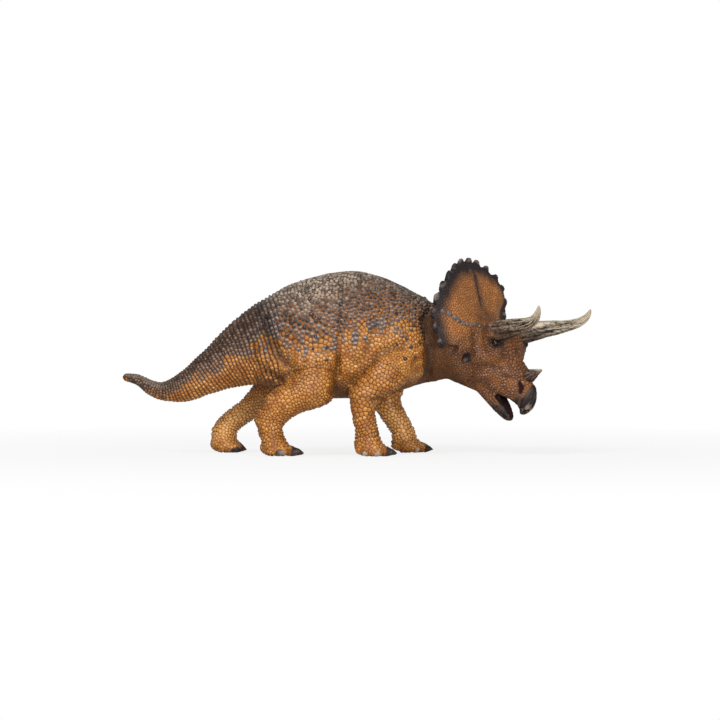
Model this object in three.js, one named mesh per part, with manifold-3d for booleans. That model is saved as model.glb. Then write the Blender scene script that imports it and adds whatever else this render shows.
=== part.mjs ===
// A walking horned dinosaur as a moulded toy figure, in millimetres.
// +X is forward, +Y is the animal's left and +Z is up, with the soles of all four feet at Z = 0.
// The figure is an assembly of moulded pieces: limbs, tail, head, jaw and horns each have a keyed
// peg that is glued into a socket of the piece that carries it. Nothing on it moves.

import * as THREE from "three";
import { mergeVertices } from "three/addons/utils/BufferGeometryUtils.js";
import Module from "manifold-3d";

const wasm = await Module();
wasm.setup();

// Trunk
const torsoLength = 61.6; // from the tail seam to the neck seam
const torsoHeight = 47.4;
const torsoWidth = 43;
const bellyClearance = 20.6;
const tailLength = 50.2;
const tailSway = 6; // how far the tip swings to the left
const neckLength = 23.3; // from the neck seam to the middle of the skull
const neckSway = 6; // how far the skull sits to the right
const neckDrop = 3.2;

// Head
const headTurn = 32; // degrees to the right
const headTilt = 2.5; // degrees, right side up
const skullDepth = 23;
const skullWidth = 23;
const faceLength = 29; // from the middle of the skull to the beak's tip
const frillRadius = 26.6;
const frillSpan = 112; // degrees from the crown to each lower tip
const frillThickness = 3;
const frillRimShare = 0.6; // of that thickness is left at the edge
const frillLean = 0.27; // backwards for each unit of height
const frillSweep = 9.2; // how far the side edges lie behind the crown line
const frillScallops = 19;
const frillCentreShare = 0.26; // above the middle of the skull
const scallopDepth = 1.8;
const scallopRootShare = 0.4; // of that depth is cut back into the edge
const browHornLength = 25;
const browHornSpread = 11.3;
const browHornLift = 8.6;
const browHornRadius = 4.3;
const noseHornLength = 5.6;
const noseHornRadius = 2.6;
const jawLength = 18;
const jawWidth = 14;
const jawDepth = 11;
const cheekSpikeLength = 4.5;
const cheekSpikeRadius = 2.4;
const eyeRadius = 1.7;

// Limbs
const hindTrack = 16; // from the middle plane to a hind foot
const foreTrack = 17;
const hindThickness = 15;
const foreThickness = 14;
const rightHindStride = 12.6; // backwards from hip to foot
const leftHindStride = 29.4;
const rightForeStride = 15;
const leftForeStride = 6; // backwards from shoulder to elbow
const footLength = 15;
const footWidth = 12.5;
const footHeight = 6.4;
const toeLength = 8.2;
const toeRadius = 2.3;

// Joints between the moulded pieces
const seamGap = 0.3;
const pegRadius = 3;
const pegLength = 6;
const limbPegRoot = 9; // how far a limb's peg starts inside the limb
const pegOval = 1.3; // wider one way, which keys the piece against turning
const tailPegRadius = 5;
const neckPegRadius = 6.5;
const hornPegRadius = 1.6;
const hornPegLength = 3.4;
const noseHornPegRadius = 1.1;
const jawPegRadius = 1.8;
const pegClearance = 0.3;

// How finely the surfaces are cut
const trunkSides = 20;
const limbSides = 14;
const hornSides = 10;
const toeSides = 8;
const ringsPerSpan = 2;
const pegSides = 12;
const roundSquareness = 2; // an ellipse; more is squarer

const left = new THREE.Vector3(0, 1, 0);
const forward = new THREE.Vector3(1, 0, 0);
const degrees = Math.PI / 180;

// A closed body from a three.js geometry, as a solid that can be joined and cut.
function solid(geometry) {
  const bare = geometry.clone();
  bare.deleteAttribute("normal");
  bare.deleteAttribute("uv");
  const merged = mergeVertices(bare);
  return new wasm.Manifold(
    new wasm.Mesh({
      numProp: 3,
      vertProperties: new Float32Array(merged.attributes.position.array),
      triVerts: new Uint32Array(merged.index.array),
    }),
  );
}

function geometryOf(body) {
  const made = body.getMesh();
  const geometry = new THREE.BufferGeometry();
  geometry.setAttribute("position", new THREE.BufferAttribute(made.vertProperties, 3));
  geometry.setIndex(new THREE.BufferAttribute(made.triVerts, 1));
  geometry.computeVertexNormals();
  return geometry;
}

// Rings of a superellipse section at right angles to a smooth spine through the stations.
// A station has its place, its half height, its half width to the left and its squareness.
// Where an axis is given the rings stay square to it, and stretch so the body keeps its thickness.
function ringsAlong(stations, sides, axis) {
  const spine = new THREE.CatmullRomCurve3(stations.map((s) => s.at));
  const sizes = new THREE.CatmullRomCurve3(
    stations.map((s) => new THREE.Vector3(s.tall, s.wide, s.square ?? roundSquareness)),
  );
  const count = (stations.length - 1) * ringsPerSpan;
  return Array.from({ length: count + 1 }, (_, i) => {
    const centre = spine.getPoint(i / count);
    const size = sizes.getPoint(i / count);
    const course = spine.getTangent(i / count);
    const tangent = axis ?? course;
    const stretch = 1 / tangent.dot(course);
    const side = left.clone().addScaledVector(tangent, -left.dot(tangent)).normalize();
    const rise = new THREE.Vector3().crossVectors(tangent, side);
    const points = Array.from({ length: sides }, (_, k) => {
      const angle = (2 * Math.PI * k) / sides;
      const bulge = (value) => Math.sign(value) * Math.abs(value) ** (roundSquareness / size.z);
      return centre
        .clone()
        .addScaledVector(side, size.y * bulge(Math.cos(angle)))
        .addScaledVector(rise, stretch * size.x * bulge(Math.sin(angle)));
    });
    return { centre, tangent, side, rise, tall: stretch * size.x, wide: size.y, points };
  });
}

// The straight way from a body's first station to its last.
function chordOf(stations) {
  return stations[stations.length - 1].at.clone().sub(stations[0].at).normalize();
}

function movedRing(ring, distance) {
  const shift = ring.tangent.clone().multiplyScalar(distance);
  return {
    ...ring,
    centre: ring.centre.clone().add(shift),
    points: ring.points.map((p) => p.clone().add(shift)),
  };
}

// The same rings a little larger all round, for the room that a neighbour has to leave.
function grownRings(rings, extra) {
  const wider = rings.map((ring) => ({
    ...ring,
    points: ring.points.map((p) =>
      p.clone().add(p.clone().sub(ring.centre).setLength(extra)),
    ),
  }));
  wider[0] = movedRing(wider[0], -extra);
  wider[wider.length - 1] = movedRing(wider[wider.length - 1], extra);
  return wider;
}

// The closed skin over a row of rings, with a flat cap on both ends.
function skin(rings) {
  const sides = rings[0].points.length;
  const places = rings.flatMap((ring) => ring.points);
  const first = places.length;
  places.push(rings[0].centre, rings[rings.length - 1].centre);
  const faces = [];
  rings.slice(1).forEach((_, r) => {
    for (let k = 0; k < sides; k += 1) {
      const next = (k + 1) % sides;
      const [a, b] = [r * sides + k, r * sides + next];
      faces.push(a, b, b + sides, a, b + sides, a + sides);
    }
  });
  const last = (rings.length - 1) * sides;
  for (let k = 0; k < sides; k += 1) {
    const next = (k + 1) % sides;
    faces.push(first, next, k, first + 1, last + k, last + next);
  }
  const geometry = new THREE.BufferGeometry().setFromPoints(places);
  geometry.setIndex(faces);
  return solid(geometry);
}

function union(...bodies) {
  return bodies.reduce((whole, body) => whole.add(body));
}

// A body moved so that its own Z runs along a direction and its X along a key direction.
function placed(body, at, direction, key) {
  const z = direction.clone().normalize();
  const x = key.clone().addScaledVector(z, -key.dot(z)).normalize();
  const y = new THREE.Vector3().crossVectors(z, x);
  return body.transform(new THREE.Matrix4().makeBasis(x, y, z).setPosition(at).elements);
}

// An oval peg from its root, which starts inside the piece that owns it.
function peg(radius, length, at, direction, key, root = radius) {
  const shape = new THREE.CylinderGeometry(radius, radius, length + root, pegSides)
    .rotateX(Math.PI / 2)
    .scale(pegOval, 1, 1)
    .translate(0, 0, (length - root) / 2);
  return placed(solid(shape), at, direction, key);
}

function socket(radius, length, at, direction, key, root = radius) {
  const wider = radius + pegClearance;
  return peg(wider, length + pegClearance, at, direction, key, root + pegClearance);
}

function ellipsoid(at, radii) {
  const ball = new THREE.SphereGeometry(1, limbSides, limbSides / 2);
  return solid(ball.scale(radii.x, radii.y, radii.z).translate(at.x, at.y, at.z));
}

// The trunk's spine, as shares of its sizes: along, up, then half height and half width.
const trunkStationShares = [
  [0, 0.433, 0.313, 0.302],
  [0.107, 0.449, 0.388, 0.384],
  [0.253, 0.48, 0.443, 0.448],
  [0.416, 0.489, 0.489, 0.486],
  [0.578, 0.5, 0.498, 0.5],
  [0.724, 0.492, 0.465, 0.474],
  [0.87, 0.473, 0.403, 0.42],
  [1, 0.456, 0.325, 0.33],
];
// The tail from its tip forwards, as shares of its length, its sway and its root's half size.
const tailStationShares = [
  [1, -0.258, 1, 0.03],
  [0.98, -0.254, 0.96, 0.083],
  [0.926, -0.259, 0.86, 0.129],
  [0.865, -0.291, 0.74, 0.156],
  [0.807, -0.329, 0.62, 0.19],
  [0.719, -0.356, 0.47, 0.232],
  [0.616, -0.337, 0.34, 0.319],
  [0.506, -0.287, 0.23, 0.415],
  [0.361, -0.193, 0.12, 0.52],
  [0.221, -0.098, 0.04, 0.7],
];
// The neck from its seam to the skull, as shares of the way there and of the trunk's sizes.
const neckStationShares = [
  [0.3, 0.27, 0.28],
  [0.65, 0.25, 0.245],
  [1.0, 0.235, 0.25],
];
const tailSeamRing = tailStationShares.length * ringsPerSpan;
const neckSeamRing = tailSeamRing + (trunkStationShares.length - 1) * ringsPerSpan;
const trunkSquareness = 2.2;

const trunkRoot = new THREE.Vector3(0, 0, bellyClearance);

function trunkPlace(along, height) {
  return new THREE.Vector3(along * torsoLength, 0, height * torsoHeight).add(trunkRoot);
}

const tailSeamPlace = trunkPlace(0, trunkStationShares[0][1]);
const neckSeamPlace = trunkPlace(1, trunkStationShares[trunkStationShares.length - 1][1]);
const skullPlace = neckSeamPlace.clone().add(new THREE.Vector3(neckLength, -neckSway, -neckDrop));

function spineStations() {
  const [, , tailTall, tailWide] = trunkStationShares[0];
  const tail = tailStationShares.map(([back, rise, sway, size]) => ({
    at: tailSeamPlace
      .clone()
      .add(new THREE.Vector3(-back * tailLength, sway * tailSway, rise * tailLength)),
    tall: size * tailTall * torsoHeight,
    wide: size * tailWide * torsoWidth,
  }));
  const trunk = trunkStationShares.map(([along, height, tall, wide]) => ({
    at: trunkPlace(along, height),
    tall: tall * torsoHeight,
    wide: wide * torsoWidth,
    square: trunkSquareness,
  }));
  const neck = neckStationShares.map(([share, tall, wide]) => ({
    at: neckSeamPlace.clone().lerp(skullPlace, share),
    tall: tall * torsoHeight,
    wide: wide * torsoWidth,
  }));
  return [...tail, ...trunk, ...neck];
}

const spineRings = ringsAlong(spineStations(), trunkSides, forward);
const tailRings = spineRings.slice(0, tailSeamRing + 1);
const barrelRings = spineRings.slice(tailSeamRing, neckSeamRing + 1);
const trunkRoom = skin(grownRings([...tailRings, ...barrelRings.slice(1)], seamGap));

// Each limb runs through stations that are shares of its own sizes: back from the root, out to the
// track, down from the root's height, then half depth and half width as shares of its thickness.
// The first stations lie in the trunk, the seam comes after them, and the foot ends the limb.
const limbs = {
  hind_leg_right: {
    side: -1,
    rootShares: [0.26, 0.54],
    stride: rightHindStride,
    track: hindTrack,
    thickness: hindThickness,
    seam: 1,
    upperShares: [
      [0, 0.55, 0, 0.98, 0.55],
      [-0.26, 0.8, 0.3, 0.8, 0.6],
      [-0.5, 0.98, 0.46, 0.56, 0.54],
      [-0.6, 1, 0.52, 0.28, 0.3],
    ],
    lowerShares: [
      [-0.7, 1, 0.424, 0.28, 0.34],
      [-0.38, 1.02, 0.472, 0.475, 0.5],
      [0.32, 1.02, 0.55, 0.435, 0.46],
      [0.825, 1, 0.658, 0.393, 0.4],
      [0.95, 0.98, 0.762, 0.327, 0.35],
      [0.88, 0.97, 0.86, 0.327, 0.35],
      [0.857, 0.97, 0.93, 0.335, 0.36],
    ],
    footShiftShare: 0.7,
    toeShares: [
      [0.1, 1],
      [-0.75, 0.42],
      [0.85, 0.3],
    ],
  },
  hind_leg_left: {
    side: 1,
    rootShares: [0.26, 0.54],
    stride: leftHindStride,
    track: hindTrack,
    thickness: hindThickness,
    seam: 1,
    upperShares: [
      [0, 0.5, 0, 0.95, 0.55],
      [0.2, 0.8, 0.27, 0.72, 0.54],
      [0.4, 0.98, 0.45, 0.5, 0.47],
      [0.5, 1, 0.53, 0.3, 0.3],
    ],
    lowerShares: [
      [0.34, 1, 0.38, 0.28, 0.32],
      [0.46, 1, 0.51, 0.37, 0.42],
      [0.68, 1, 0.645, 0.3, 0.36],
      [0.847, 1, 0.719, 0.293, 0.34],
      [0.973, 0.99, 0.797, 0.3, 0.33],
      [1.007, 0.98, 0.87, 0.31, 0.33],
      [0.997, 0.98, 0.935, 0.295, 0.34],
    ],
    footShiftShare: 0.3,
    toeShares: [
      [0.1, 0.75],
      [-0.75, 0.42],
      [0.8, 0.5],
    ],
  },
  fore_leg_right: {
    side: -1,
    rootShares: [0.9, 0.42],
    stride: rightForeStride,
    track: foreTrack,
    thickness: foreThickness,
    seam: 1,
    upperShares: [
      [0.36, 0.6, 0, 0.62, 0.56],
      [0.56, 0.88, 0.2, 0.64, 0.54],
      [0.86, 1.02, 0.39, 0.52, 0.48],
      [1.0, 1.02, 0.46, 0.3, 0.3],
    ],
    lowerShares: [
      [0.9, 1.02, 0.3, 0.3, 0.32],
      [1.05, 1.02, 0.4, 0.44, 0.46],
      [1.135, 1.02, 0.51, 0.36, 0.42],
      [1.11, 1, 0.64, 0.315, 0.36],
      [1.04, 0.98, 0.76, 0.32, 0.35],
      [1, 0.97, 0.86, 0.34, 0.36],
      [0.99, 0.97, 0.93, 0.36, 0.38],
    ],
    footShiftShare: 0.35,
    toeShares: [
      [0.1, 0.95],
      [-0.8, 0.3],
      [0.85, 0.3],
    ],
  },
  fore_leg_left: {
    side: 1,
    rootShares: [0.87, 0.36],
    stride: leftForeStride,
    track: foreTrack,
    thickness: foreThickness,
    seam: 1,
    upperShares: [
      [0.6, 0.6, 0, 0.62, 0.56],
      [0.8, 0.84, 0.2, 0.62, 0.5],
      [1.1, 0.96, 0.4, 0.46, 0.45],
      [1.1, 0.98, 0.48, 0.3, 0.3],
    ],
    lowerShares: [
      [1.5, 0.94, 0.3, 0.28, 0.3],
      [1.3, 0.96, 0.42, 0.4, 0.44],
      [0.87, 0.96, 0.56, 0.35, 0.4],
      [0.43, 0.95, 0.68, 0.33, 0.36],
      [0.02, 0.94, 0.79, 0.31, 0.33],
      [-0.1, 0.94, 0.88, 0.31, 0.33],
      [-0.14, 0.94, 0.94, 0.32, 0.35],
    ],
    footShiftShare: 0.2,
    toeShares: [
      [0.1, 1],
      [-0.75, 0.4],
      [0.8, 0.55],
    ],
  },
};

function limbStations(limb, shares) {
  const rootPlace = trunkPlace(...limb.rootShares);
  return shares.map(([back, out, down, deep, wide]) => ({
    at: new THREE.Vector3(
      rootPlace.x - back * limb.stride,
      limb.side * out * limb.track,
      rootPlace.z * (1 - down),
    ),
    tall: deep * limb.thickness,
    wide: wide * limb.thickness,
  }));
}

const padLengthShare = 0.42; // half the pad's length, of the foot's
const padWidthShare = 0.46;
const padHeightShare = 0.46;
const padRestShare = 0.9; // the pad's middle, of its half height above the floor
const toeRootShare = 0.3; // how far ahead of the pad's middle the toes start
const toeRowShare = 0.62; // how far apart they start
const toeSplayShare = 0.34; // how much further apart they end
const toeDropShare = 0.62; // how far their tips drop
const toeStationShares = [
  [-0.4, 0.9],
  [0, 1],
  [0.5, 0.86],
  [0.85, 0.5],
  [1, 0.2],
];

// A hoofed toe from its start in the pad, as far to the side as its share across the foot.
function makeToe(start, outwards, reach) {
  const stations = toeStationShares.map(([along, size]) => ({
    at: new THREE.Vector3(
      start.x + along * reach * toeLength,
      start.y + along * outwards * toeSplayShare * toeLength,
      start.z - Math.max(along, 0) * toeDropShare * toeRadius,
    ),
    tall: size * toeRadius,
    wide: size * toeRadius,
  }));
  return skin(ringsAlong(stations, toeSides, forward));
}

// The foot's pad and its toes, ahead of the limb's last station.
function footParts(limb, ankle) {
  const padRadii = new THREE.Vector3(
    padLengthShare * footLength,
    padWidthShare * footWidth,
    padHeightShare * footHeight,
  );
  const padCentre = new THREE.Vector3(
    ankle.x + limb.footShiftShare * toeRadius,
    ankle.y,
    padRestShare * padRadii.z,
  );
  const toes = limb.toeShares.map(([across, reach]) => {
    const outwards = limb.side * across;
    const start = new THREE.Vector3(
      padCentre.x + toeRootShare * padRadii.x,
      padCentre.y + outwards * toeRowShare * padRadii.y,
      padCentre.z,
    );
    return makeToe(start, outwards, reach);
  });
  return union(ellipsoid(padCentre, padRadii), ...toes);
}

// Everything below the floor plane is cut away, so that each foot has a flat sole.
const floorBlock = (() => {
  const reach = 2 * (torsoLength + tailLength + neckLength + faceLength);
  const block = new THREE.BoxGeometry(reach, reach, reach).translate(0, 0, -reach / 2);
  return solid(block);
})();

function makeLimb(limb) {
  const upperStations = limbStations(limb, limb.upperShares);
  const upperRings = ringsAlong(upperStations, limbSides, chordOf(upperStations));
  const lowerStations = limbStations(limb, limb.lowerShares);
  const lowerRings = ringsAlong(lowerStations, limbSides, chordOf(lowerStations));
  const seamRing = limb.seam * ringsPerSpan;
  const seam = upperRings[seamRing];
  const inward = seam.tangent.clone().negate();
  const stumpRings = upperRings.slice(0, seamRing + 1);
  const thigh = skin([movedRing(seam, seamGap), ...upperRings.slice(seamRing + 1)]);
  const shank = skin(lowerRings);
  const ankle = lowerStations[lowerStations.length - 1].at;
  const body = union(thigh, shank, footParts(limb, ankle)).subtract(floorBlock);
  const room = skin(grownRings(stumpRings, seamGap));
  const trimmed = body.subtract(trunkRoom.add(room));
  const pegWay = [seam.centre, inward, seam.side, limbPegRoot];
  const whole = trimmed.add(peg(pegRadius, pegLength, ...pegWay));
  return {
    stump: skin(stumpRings),
    room,
    whole,
    hole: socket(pegRadius, pegLength, ...pegWay),
  };
}

// The head's pieces are made in the skull's own frame: X along the face as seen from above,
// Y to the animal's left and Z up, with the origin in the middle of the skull.
const headFrame = new THREE.Group();
headFrame.position.copy(skullPlace);
headFrame.rotation.set(-headTilt * degrees, 0, -headTurn * degrees, "ZYX");
headFrame.updateMatrixWorld(true);
const toHead = headFrame.matrixWorld.clone().invert();

// Skull stations from the cheeks to the nose, as shares of the face's length and skull's sizes.
const skullStationShares = [
  [-0.2, 0, -0.03, 0.5, 0.46],
  [0.02, 0, -0.035, 0.5, 0.49],
  [0.159, 0, -0.193, 0.45, 0.44],
  [0.29, 0, -0.366, 0.348, 0.31],
  [0.452, 0, -0.48, 0.27, 0.235],
  [0.555, 0, -0.583, 0.21, 0.19],
  [0.6, 0, -0.63, 0.12, 0.13],
];
const beakStationShares = [
  [0.53, 0, -0.44, 0.24, 0.21],
  [0.57, 0, -0.59, 0.2, 0.175],
  [0.56, 0, -0.73, 0.14, 0.115],
  [0.5, 0, -0.835, 0.045, 0.035],
];
// The jaw from its hinge line down to its tip, as shares of its own sizes from its root.
const jawRootShares = [-0.055, -0.43];
const jawStationShares = [
  [0, 0, 0, 0.46, 0.44],
  [0.18, 0, -0.27, 0.4, 0.44],
  [0.4, 0, -0.58, 0.29, 0.34],
  [0.59, 0, -0.82, 0.18, 0.2],
  [0.67, 0, -0.9, 0.08, 0.08],
];

function headStations(shares, length, tallSize, wideSize) {
  return shares.map(([fore, out, rise, tall, wide]) => ({
    at: new THREE.Vector3(fore * length, out * length, rise * length),
    tall: tall * tallSize,
    wide: wide * wideSize,
  }));
}

function headRings(shares) {
  const stations = headStations(shares, faceLength, skullDepth, skullWidth);
  return ringsAlong(stations, limbSides, chordOf(stations));
}

const skullRings = headRings(skullStationShares);
// What sits on the skull: its ring, then outwards and up as shares of that ring's half sizes.
const cheekSpikeShares = [1, 1, -0.15];
const cheekSpikeWayShares = [0.2, 1, 0.45];
const eyeShares = [3, 0.84, 0.66];
const browRootShares = [3, 0.4, 0.4];
const browHornRootShares = [3, 0.8, 0.97];

function onSkull([ring, out, up], side) {
  const { centre, side: across, rise, wide, tall } = skullRings[ring];
  return centre
    .clone()
    .addScaledVector(across, side * out * wide)
    .addScaledVector(rise, up * tall);
}

function cheekSpike(side) {
  const cone = new THREE.ConeGeometry(cheekSpikeRadius, 2 * cheekSpikeLength, hornSides);
  const [back, out, drop] = cheekSpikeWayShares;
  const way = new THREE.Vector3(-back, side * out, -drop);
  const spike = solid(cone.rotateX(Math.PI / 2));
  return placed(spike, onSkull(cheekSpikeShares, side), way, forward);
}

function eye(side) {
  return ellipsoid(onSkull(eyeShares, side), new THREE.Vector3(eyeRadius, eyeRadius, eyeRadius));
}

const frillCentre = new THREE.Vector3(0, 0, frillCentreShare * skullDepth);
const frillRootShare = 0.15;
const frillRings = 4;
const stepsPerScallop = 2;
const frillSteps = stepsPerScallop * frillScallops;

// A point of the frill's middle surface at a share of the way out and an angle from the crown.
// The edge runs out to a point in the middle of each scallop.
function frillPoint(ring, angle) {
  const share = frillRootShare + ((1 - frillRootShare) * ring) / frillRings;
  const lobe = Math.abs(Math.cos((angle / (2 * frillSpan)) * frillScallops * Math.PI));
  const point = ring === frillRings ? scallopDepth * (lobe - scallopRootShare) : 0;
  const reach = share * frillRadius + point;
  const across = reach * Math.sin(angle * degrees);
  const height = reach * Math.cos(angle * degrees);
  const sweep = frillSweep * (across / frillRadius) ** 2;
  return new THREE.Vector3(-frillLean * height - sweep, across, height).add(frillCentre);
}

function makeFrill() {
  const places = [];
  const faces = [];
  const columns = frillSteps + 1;
  const layer = (frillRings + 1) * columns;
  [0.5, -0.5].forEach((offset) => {
    for (let r = 0; r <= frillRings; r += 1) {
      const thickness = frillThickness * (r === frillRings ? frillRimShare : 1);
      for (let c = 0; c < columns; c += 1) {
        const place = frillPoint(r, frillSpan * ((2 * c) / frillSteps - 1));
        place.x += offset * thickness;
        places.push(place);
      }
    }
  });
  const quad = (a, b, c, d) => faces.push(a, b, c, a, c, d);
  for (let r = 0; r < frillRings; r += 1) {
    for (let c = 0; c < frillSteps; c += 1) {
      const a = r * columns + c;
      quad(a, a + 1, a + columns + 1, a + columns);
      quad(layer + a, layer + a + columns, layer + a + columns + 1, layer + a + 1);
    }
  }
  const rim = frillRings * columns;
  for (let c = 0; c < frillSteps; c += 1) {
    quad(c + 1, c, layer + c, layer + c + 1);
    quad(rim + c, rim + c + 1, layer + rim + c + 1, layer + rim + c);
  }
  for (let r = 0; r < frillRings; r += 1) {
    const near = r * columns;
    const far = near + frillSteps;
    quad(near, near + columns, layer + near + columns, layer + near);
    quad(far + columns, far, layer + far, layer + far + columns);
  }
  const geometry = new THREE.BufferGeometry().setFromPoints(places);
  geometry.setIndex(faces);
  return solid(geometry);
}

// A brow horn: forwards, outwards and up as shares of its sizes, then its half thickness.
const browHornStationShares = [
  [0, 0, 0, 1],
  [0.32, 0.21, 0.19, 0.78],
  [0.6, 0.46, 0.31, 0.56],
  [0.79, 0.71, 0.48, 0.42],
  [0.92, 0.88, 0.72, 0.29],
  [1, 1, 1, 0.12],
];
function browHornRings(side) {
  const root = onSkull(browHornRootShares, side);
  const stations = browHornStationShares.map(([a, b, c, size]) => ({
    at: root
      .clone()
      .add(
        new THREE.Vector3(a * browHornLength, side * b * browHornSpread, c * browHornLift),
      ),
    tall: size * browHornRadius,
    wide: size * browHornRadius,
  }));
  return ringsAlong(stations, hornSides);
}

// The brow that swells out of the skull to carry a horn.
const browShares = [
  [0, 1.5],
  [0.7, 1.3],
  [1, 1.08],
];

function makeBrow(side) {
  const root = onSkull(browRootShares, side);
  const [seat] = browHornRings(side);
  const stations = browShares.map(([along, size]) => ({
    at: root.clone().lerp(seat.centre, along),
    tall: size * browHornRadius,
    wide: size * browHornRadius,
  }));
  return skin(ringsAlong(stations, limbSides, seat.tangent));
}

const noseHornPitch = 25; // degrees above level
const noseRootShares = [0.6, -0.33];
const noseHornStationShares = [
  [0, 1],
  [0.45, 0.62],
  [0.8, 0.33],
  [1, 0.12],
];

function noseHornRings() {
  const root = new THREE.Vector3(noseRootShares[0] * faceLength, 0, noseRootShares[1] * faceLength);
  const direction = new THREE.Vector3(
    Math.cos(noseHornPitch * degrees),
    0,
    Math.sin(noseHornPitch * degrees),
  );
  const stations = noseHornStationShares.map(([along, size]) => ({
    at: root.clone().addScaledVector(direction, along * noseHornLength),
    tall: size * noseHornRadius,
    wide: size * noseHornRadius,
  }));
  return ringsAlong(stations, hornSides);
}

// A piece that starts at a seat ring on the head: its body with a peg, and the room for both.
function seatedPiece(rings, radius, length) {
  const [seat] = rings;
  const inward = seat.tangent.clone().negate();
  return {
    whole: skin(rings).add(peg(radius, length, seat.centre, inward, seat.side)),
    room: skin(grownRings(rings, seamGap)).add(
      socket(radius, length, seat.centre, inward, seat.side),
    ),
  };
}

function jawRings() {
  const [fore, rise] = jawRootShares;
  const root = new THREE.Vector3(fore * faceLength, 0, rise * skullDepth);
  const stations = headStations(jawStationShares, jawLength, jawDepth, jawWidth);
  stations.forEach((station) => station.at.add(root));
  return ringsAlong(stations, limbSides, chordOf(stations));
}

function makeHead(seated, stumpRooms) {
  const neckRings = spineRings.slice(neckSeamRing);
  const [neckSeam] = neckRings;
  const backwards = neckSeam.tangent.clone().negate();
  neckRings[0] = movedRing(neckSeam, seamGap);
  const neck = skin(neckRings)
    .subtract(stumpRooms)
    .add(peg(neckPegRadius, pegLength, neckSeam.centre, backwards, neckSeam.side))
    .transform(toHead.elements);
  const paired = [1, -1].flatMap((side) => [cheekSpike(side), eye(side), makeBrow(side)]);
  const skull = skin(skullRings);
  const beak = skin(headRings(beakStationShares));
  const whole = union(neck, skull, beak, makeFrill(), ...paired);
  return whole.subtract(union(...seated.map((piece) => piece.room)));
}

const figure = new THREE.Group();
const finishes = {
  hide: new THREE.MeshStandardMaterial({ color: 0x8a5a2c, roughness: 0.55, metalness: 0 }),
  leg: new THREE.MeshStandardMaterial({ color: 0xb87a3c, roughness: 0.5, metalness: 0 }),
  head: new THREE.MeshStandardMaterial({ color: 0x6e4526, roughness: 0.55, metalness: 0 }),
  horn: new THREE.MeshStandardMaterial({ color: 0xb8ad98, roughness: 0.5, metalness: 0 }),
};

function addPiece(parent, name, body, finish) {
  const mesh = new THREE.Mesh(geometryOf(body), finishes[finish]);
  mesh.name = name;
  parent.add(mesh);
}

// Trunk: the barrel with a stump for each limb, less the sockets.
const limbParts = Object.entries(limbs).map(([name, limb]) => ({ name, ...makeLimb(limb) }));
const [tailSeam] = barrelRings;
const neckSeam = barrelRings[barrelRings.length - 1];
const trunk = union(skin(barrelRings), ...limbParts.map((part) => part.stump)).subtract(
  union(
    ...limbParts.map((part) => part.hole),
    socket(tailPegRadius, pegLength, tailSeam.centre, tailSeam.tangent, tailSeam.side),
    socket(
      neckPegRadius,
      pegLength,
      neckSeam.centre,
      neckSeam.tangent.clone().negate(),
      neckSeam.side,
    ),
  ),
);
addPiece(figure, "trunk", trunk, "hide");
limbParts.forEach((part) => addPiece(figure, part.name, part.whole, "leg"));

const tailEnd = movedRing(tailSeam, -seamGap);
const stumpRooms = union(...limbParts.map((part) => part.room));
const tail = skin([...tailRings.slice(0, -1), tailEnd])
  .subtract(stumpRooms)
  .add(peg(tailPegRadius, pegLength, tailSeam.centre, tailSeam.tangent, tailSeam.side));
addPiece(figure, "tail", tail, "hide");

// Head: everything here sits in the skull's own frame.
const headPieces = {
  brow_horn_right: [seatedPiece(browHornRings(-1), hornPegRadius, hornPegLength), "horn"],
  brow_horn_left: [seatedPiece(browHornRings(1), hornPegRadius, hornPegLength), "horn"],
  nose_horn: [seatedPiece(noseHornRings(), noseHornPegRadius, hornPegLength), "horn"],
  lower_jaw: [seatedPiece(jawRings(), jawPegRadius, hornPegLength), "head"],
};
const seated = Object.values(headPieces).map(([piece]) => piece);
addPiece(headFrame, "head", makeHead(seated, stumpRooms), "head");
Object.entries(headPieces).forEach(([name, [piece, finish]]) =>
  addPiece(headFrame, name, piece.whole, finish),
);
figure.add(headFrame);

// The origin goes to the middle of the footprint of the whole figure, on the floor.
const measuredByVertex = true;
const extent = new THREE.Box3().setFromObject(figure, measuredByVertex);
const middle = extent.getCenter(new THREE.Vector3());
figure.position.set(-middle.x, -middle.y, -extent.min.z);

export default figure;
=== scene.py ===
import math

import bpy
import numpy as np
import openvdb
from mathutils import Matrix, Vector, kdtree


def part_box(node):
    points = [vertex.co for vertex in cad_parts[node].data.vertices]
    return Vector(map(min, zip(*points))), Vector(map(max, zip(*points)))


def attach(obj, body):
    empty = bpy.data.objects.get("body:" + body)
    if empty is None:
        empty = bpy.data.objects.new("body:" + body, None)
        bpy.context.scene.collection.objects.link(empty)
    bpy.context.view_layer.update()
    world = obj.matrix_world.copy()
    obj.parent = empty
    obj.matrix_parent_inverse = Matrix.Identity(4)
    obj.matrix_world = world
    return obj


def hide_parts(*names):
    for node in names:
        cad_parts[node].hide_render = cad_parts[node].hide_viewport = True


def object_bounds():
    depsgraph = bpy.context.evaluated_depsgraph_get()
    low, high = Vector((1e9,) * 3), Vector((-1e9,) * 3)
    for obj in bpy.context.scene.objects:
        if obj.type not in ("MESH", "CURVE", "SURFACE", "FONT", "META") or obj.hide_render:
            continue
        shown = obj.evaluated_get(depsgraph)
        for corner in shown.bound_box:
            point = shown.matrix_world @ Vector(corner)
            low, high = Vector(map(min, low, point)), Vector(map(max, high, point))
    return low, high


# A hand-painted figure of a walking horned dinosaur.
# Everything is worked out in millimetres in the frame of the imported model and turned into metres
# when a piece is finished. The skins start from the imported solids: their seams are closed and their
# facets smoothed, then muscles, folds and the face are modelled in, and scales are raised and painted.

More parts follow.
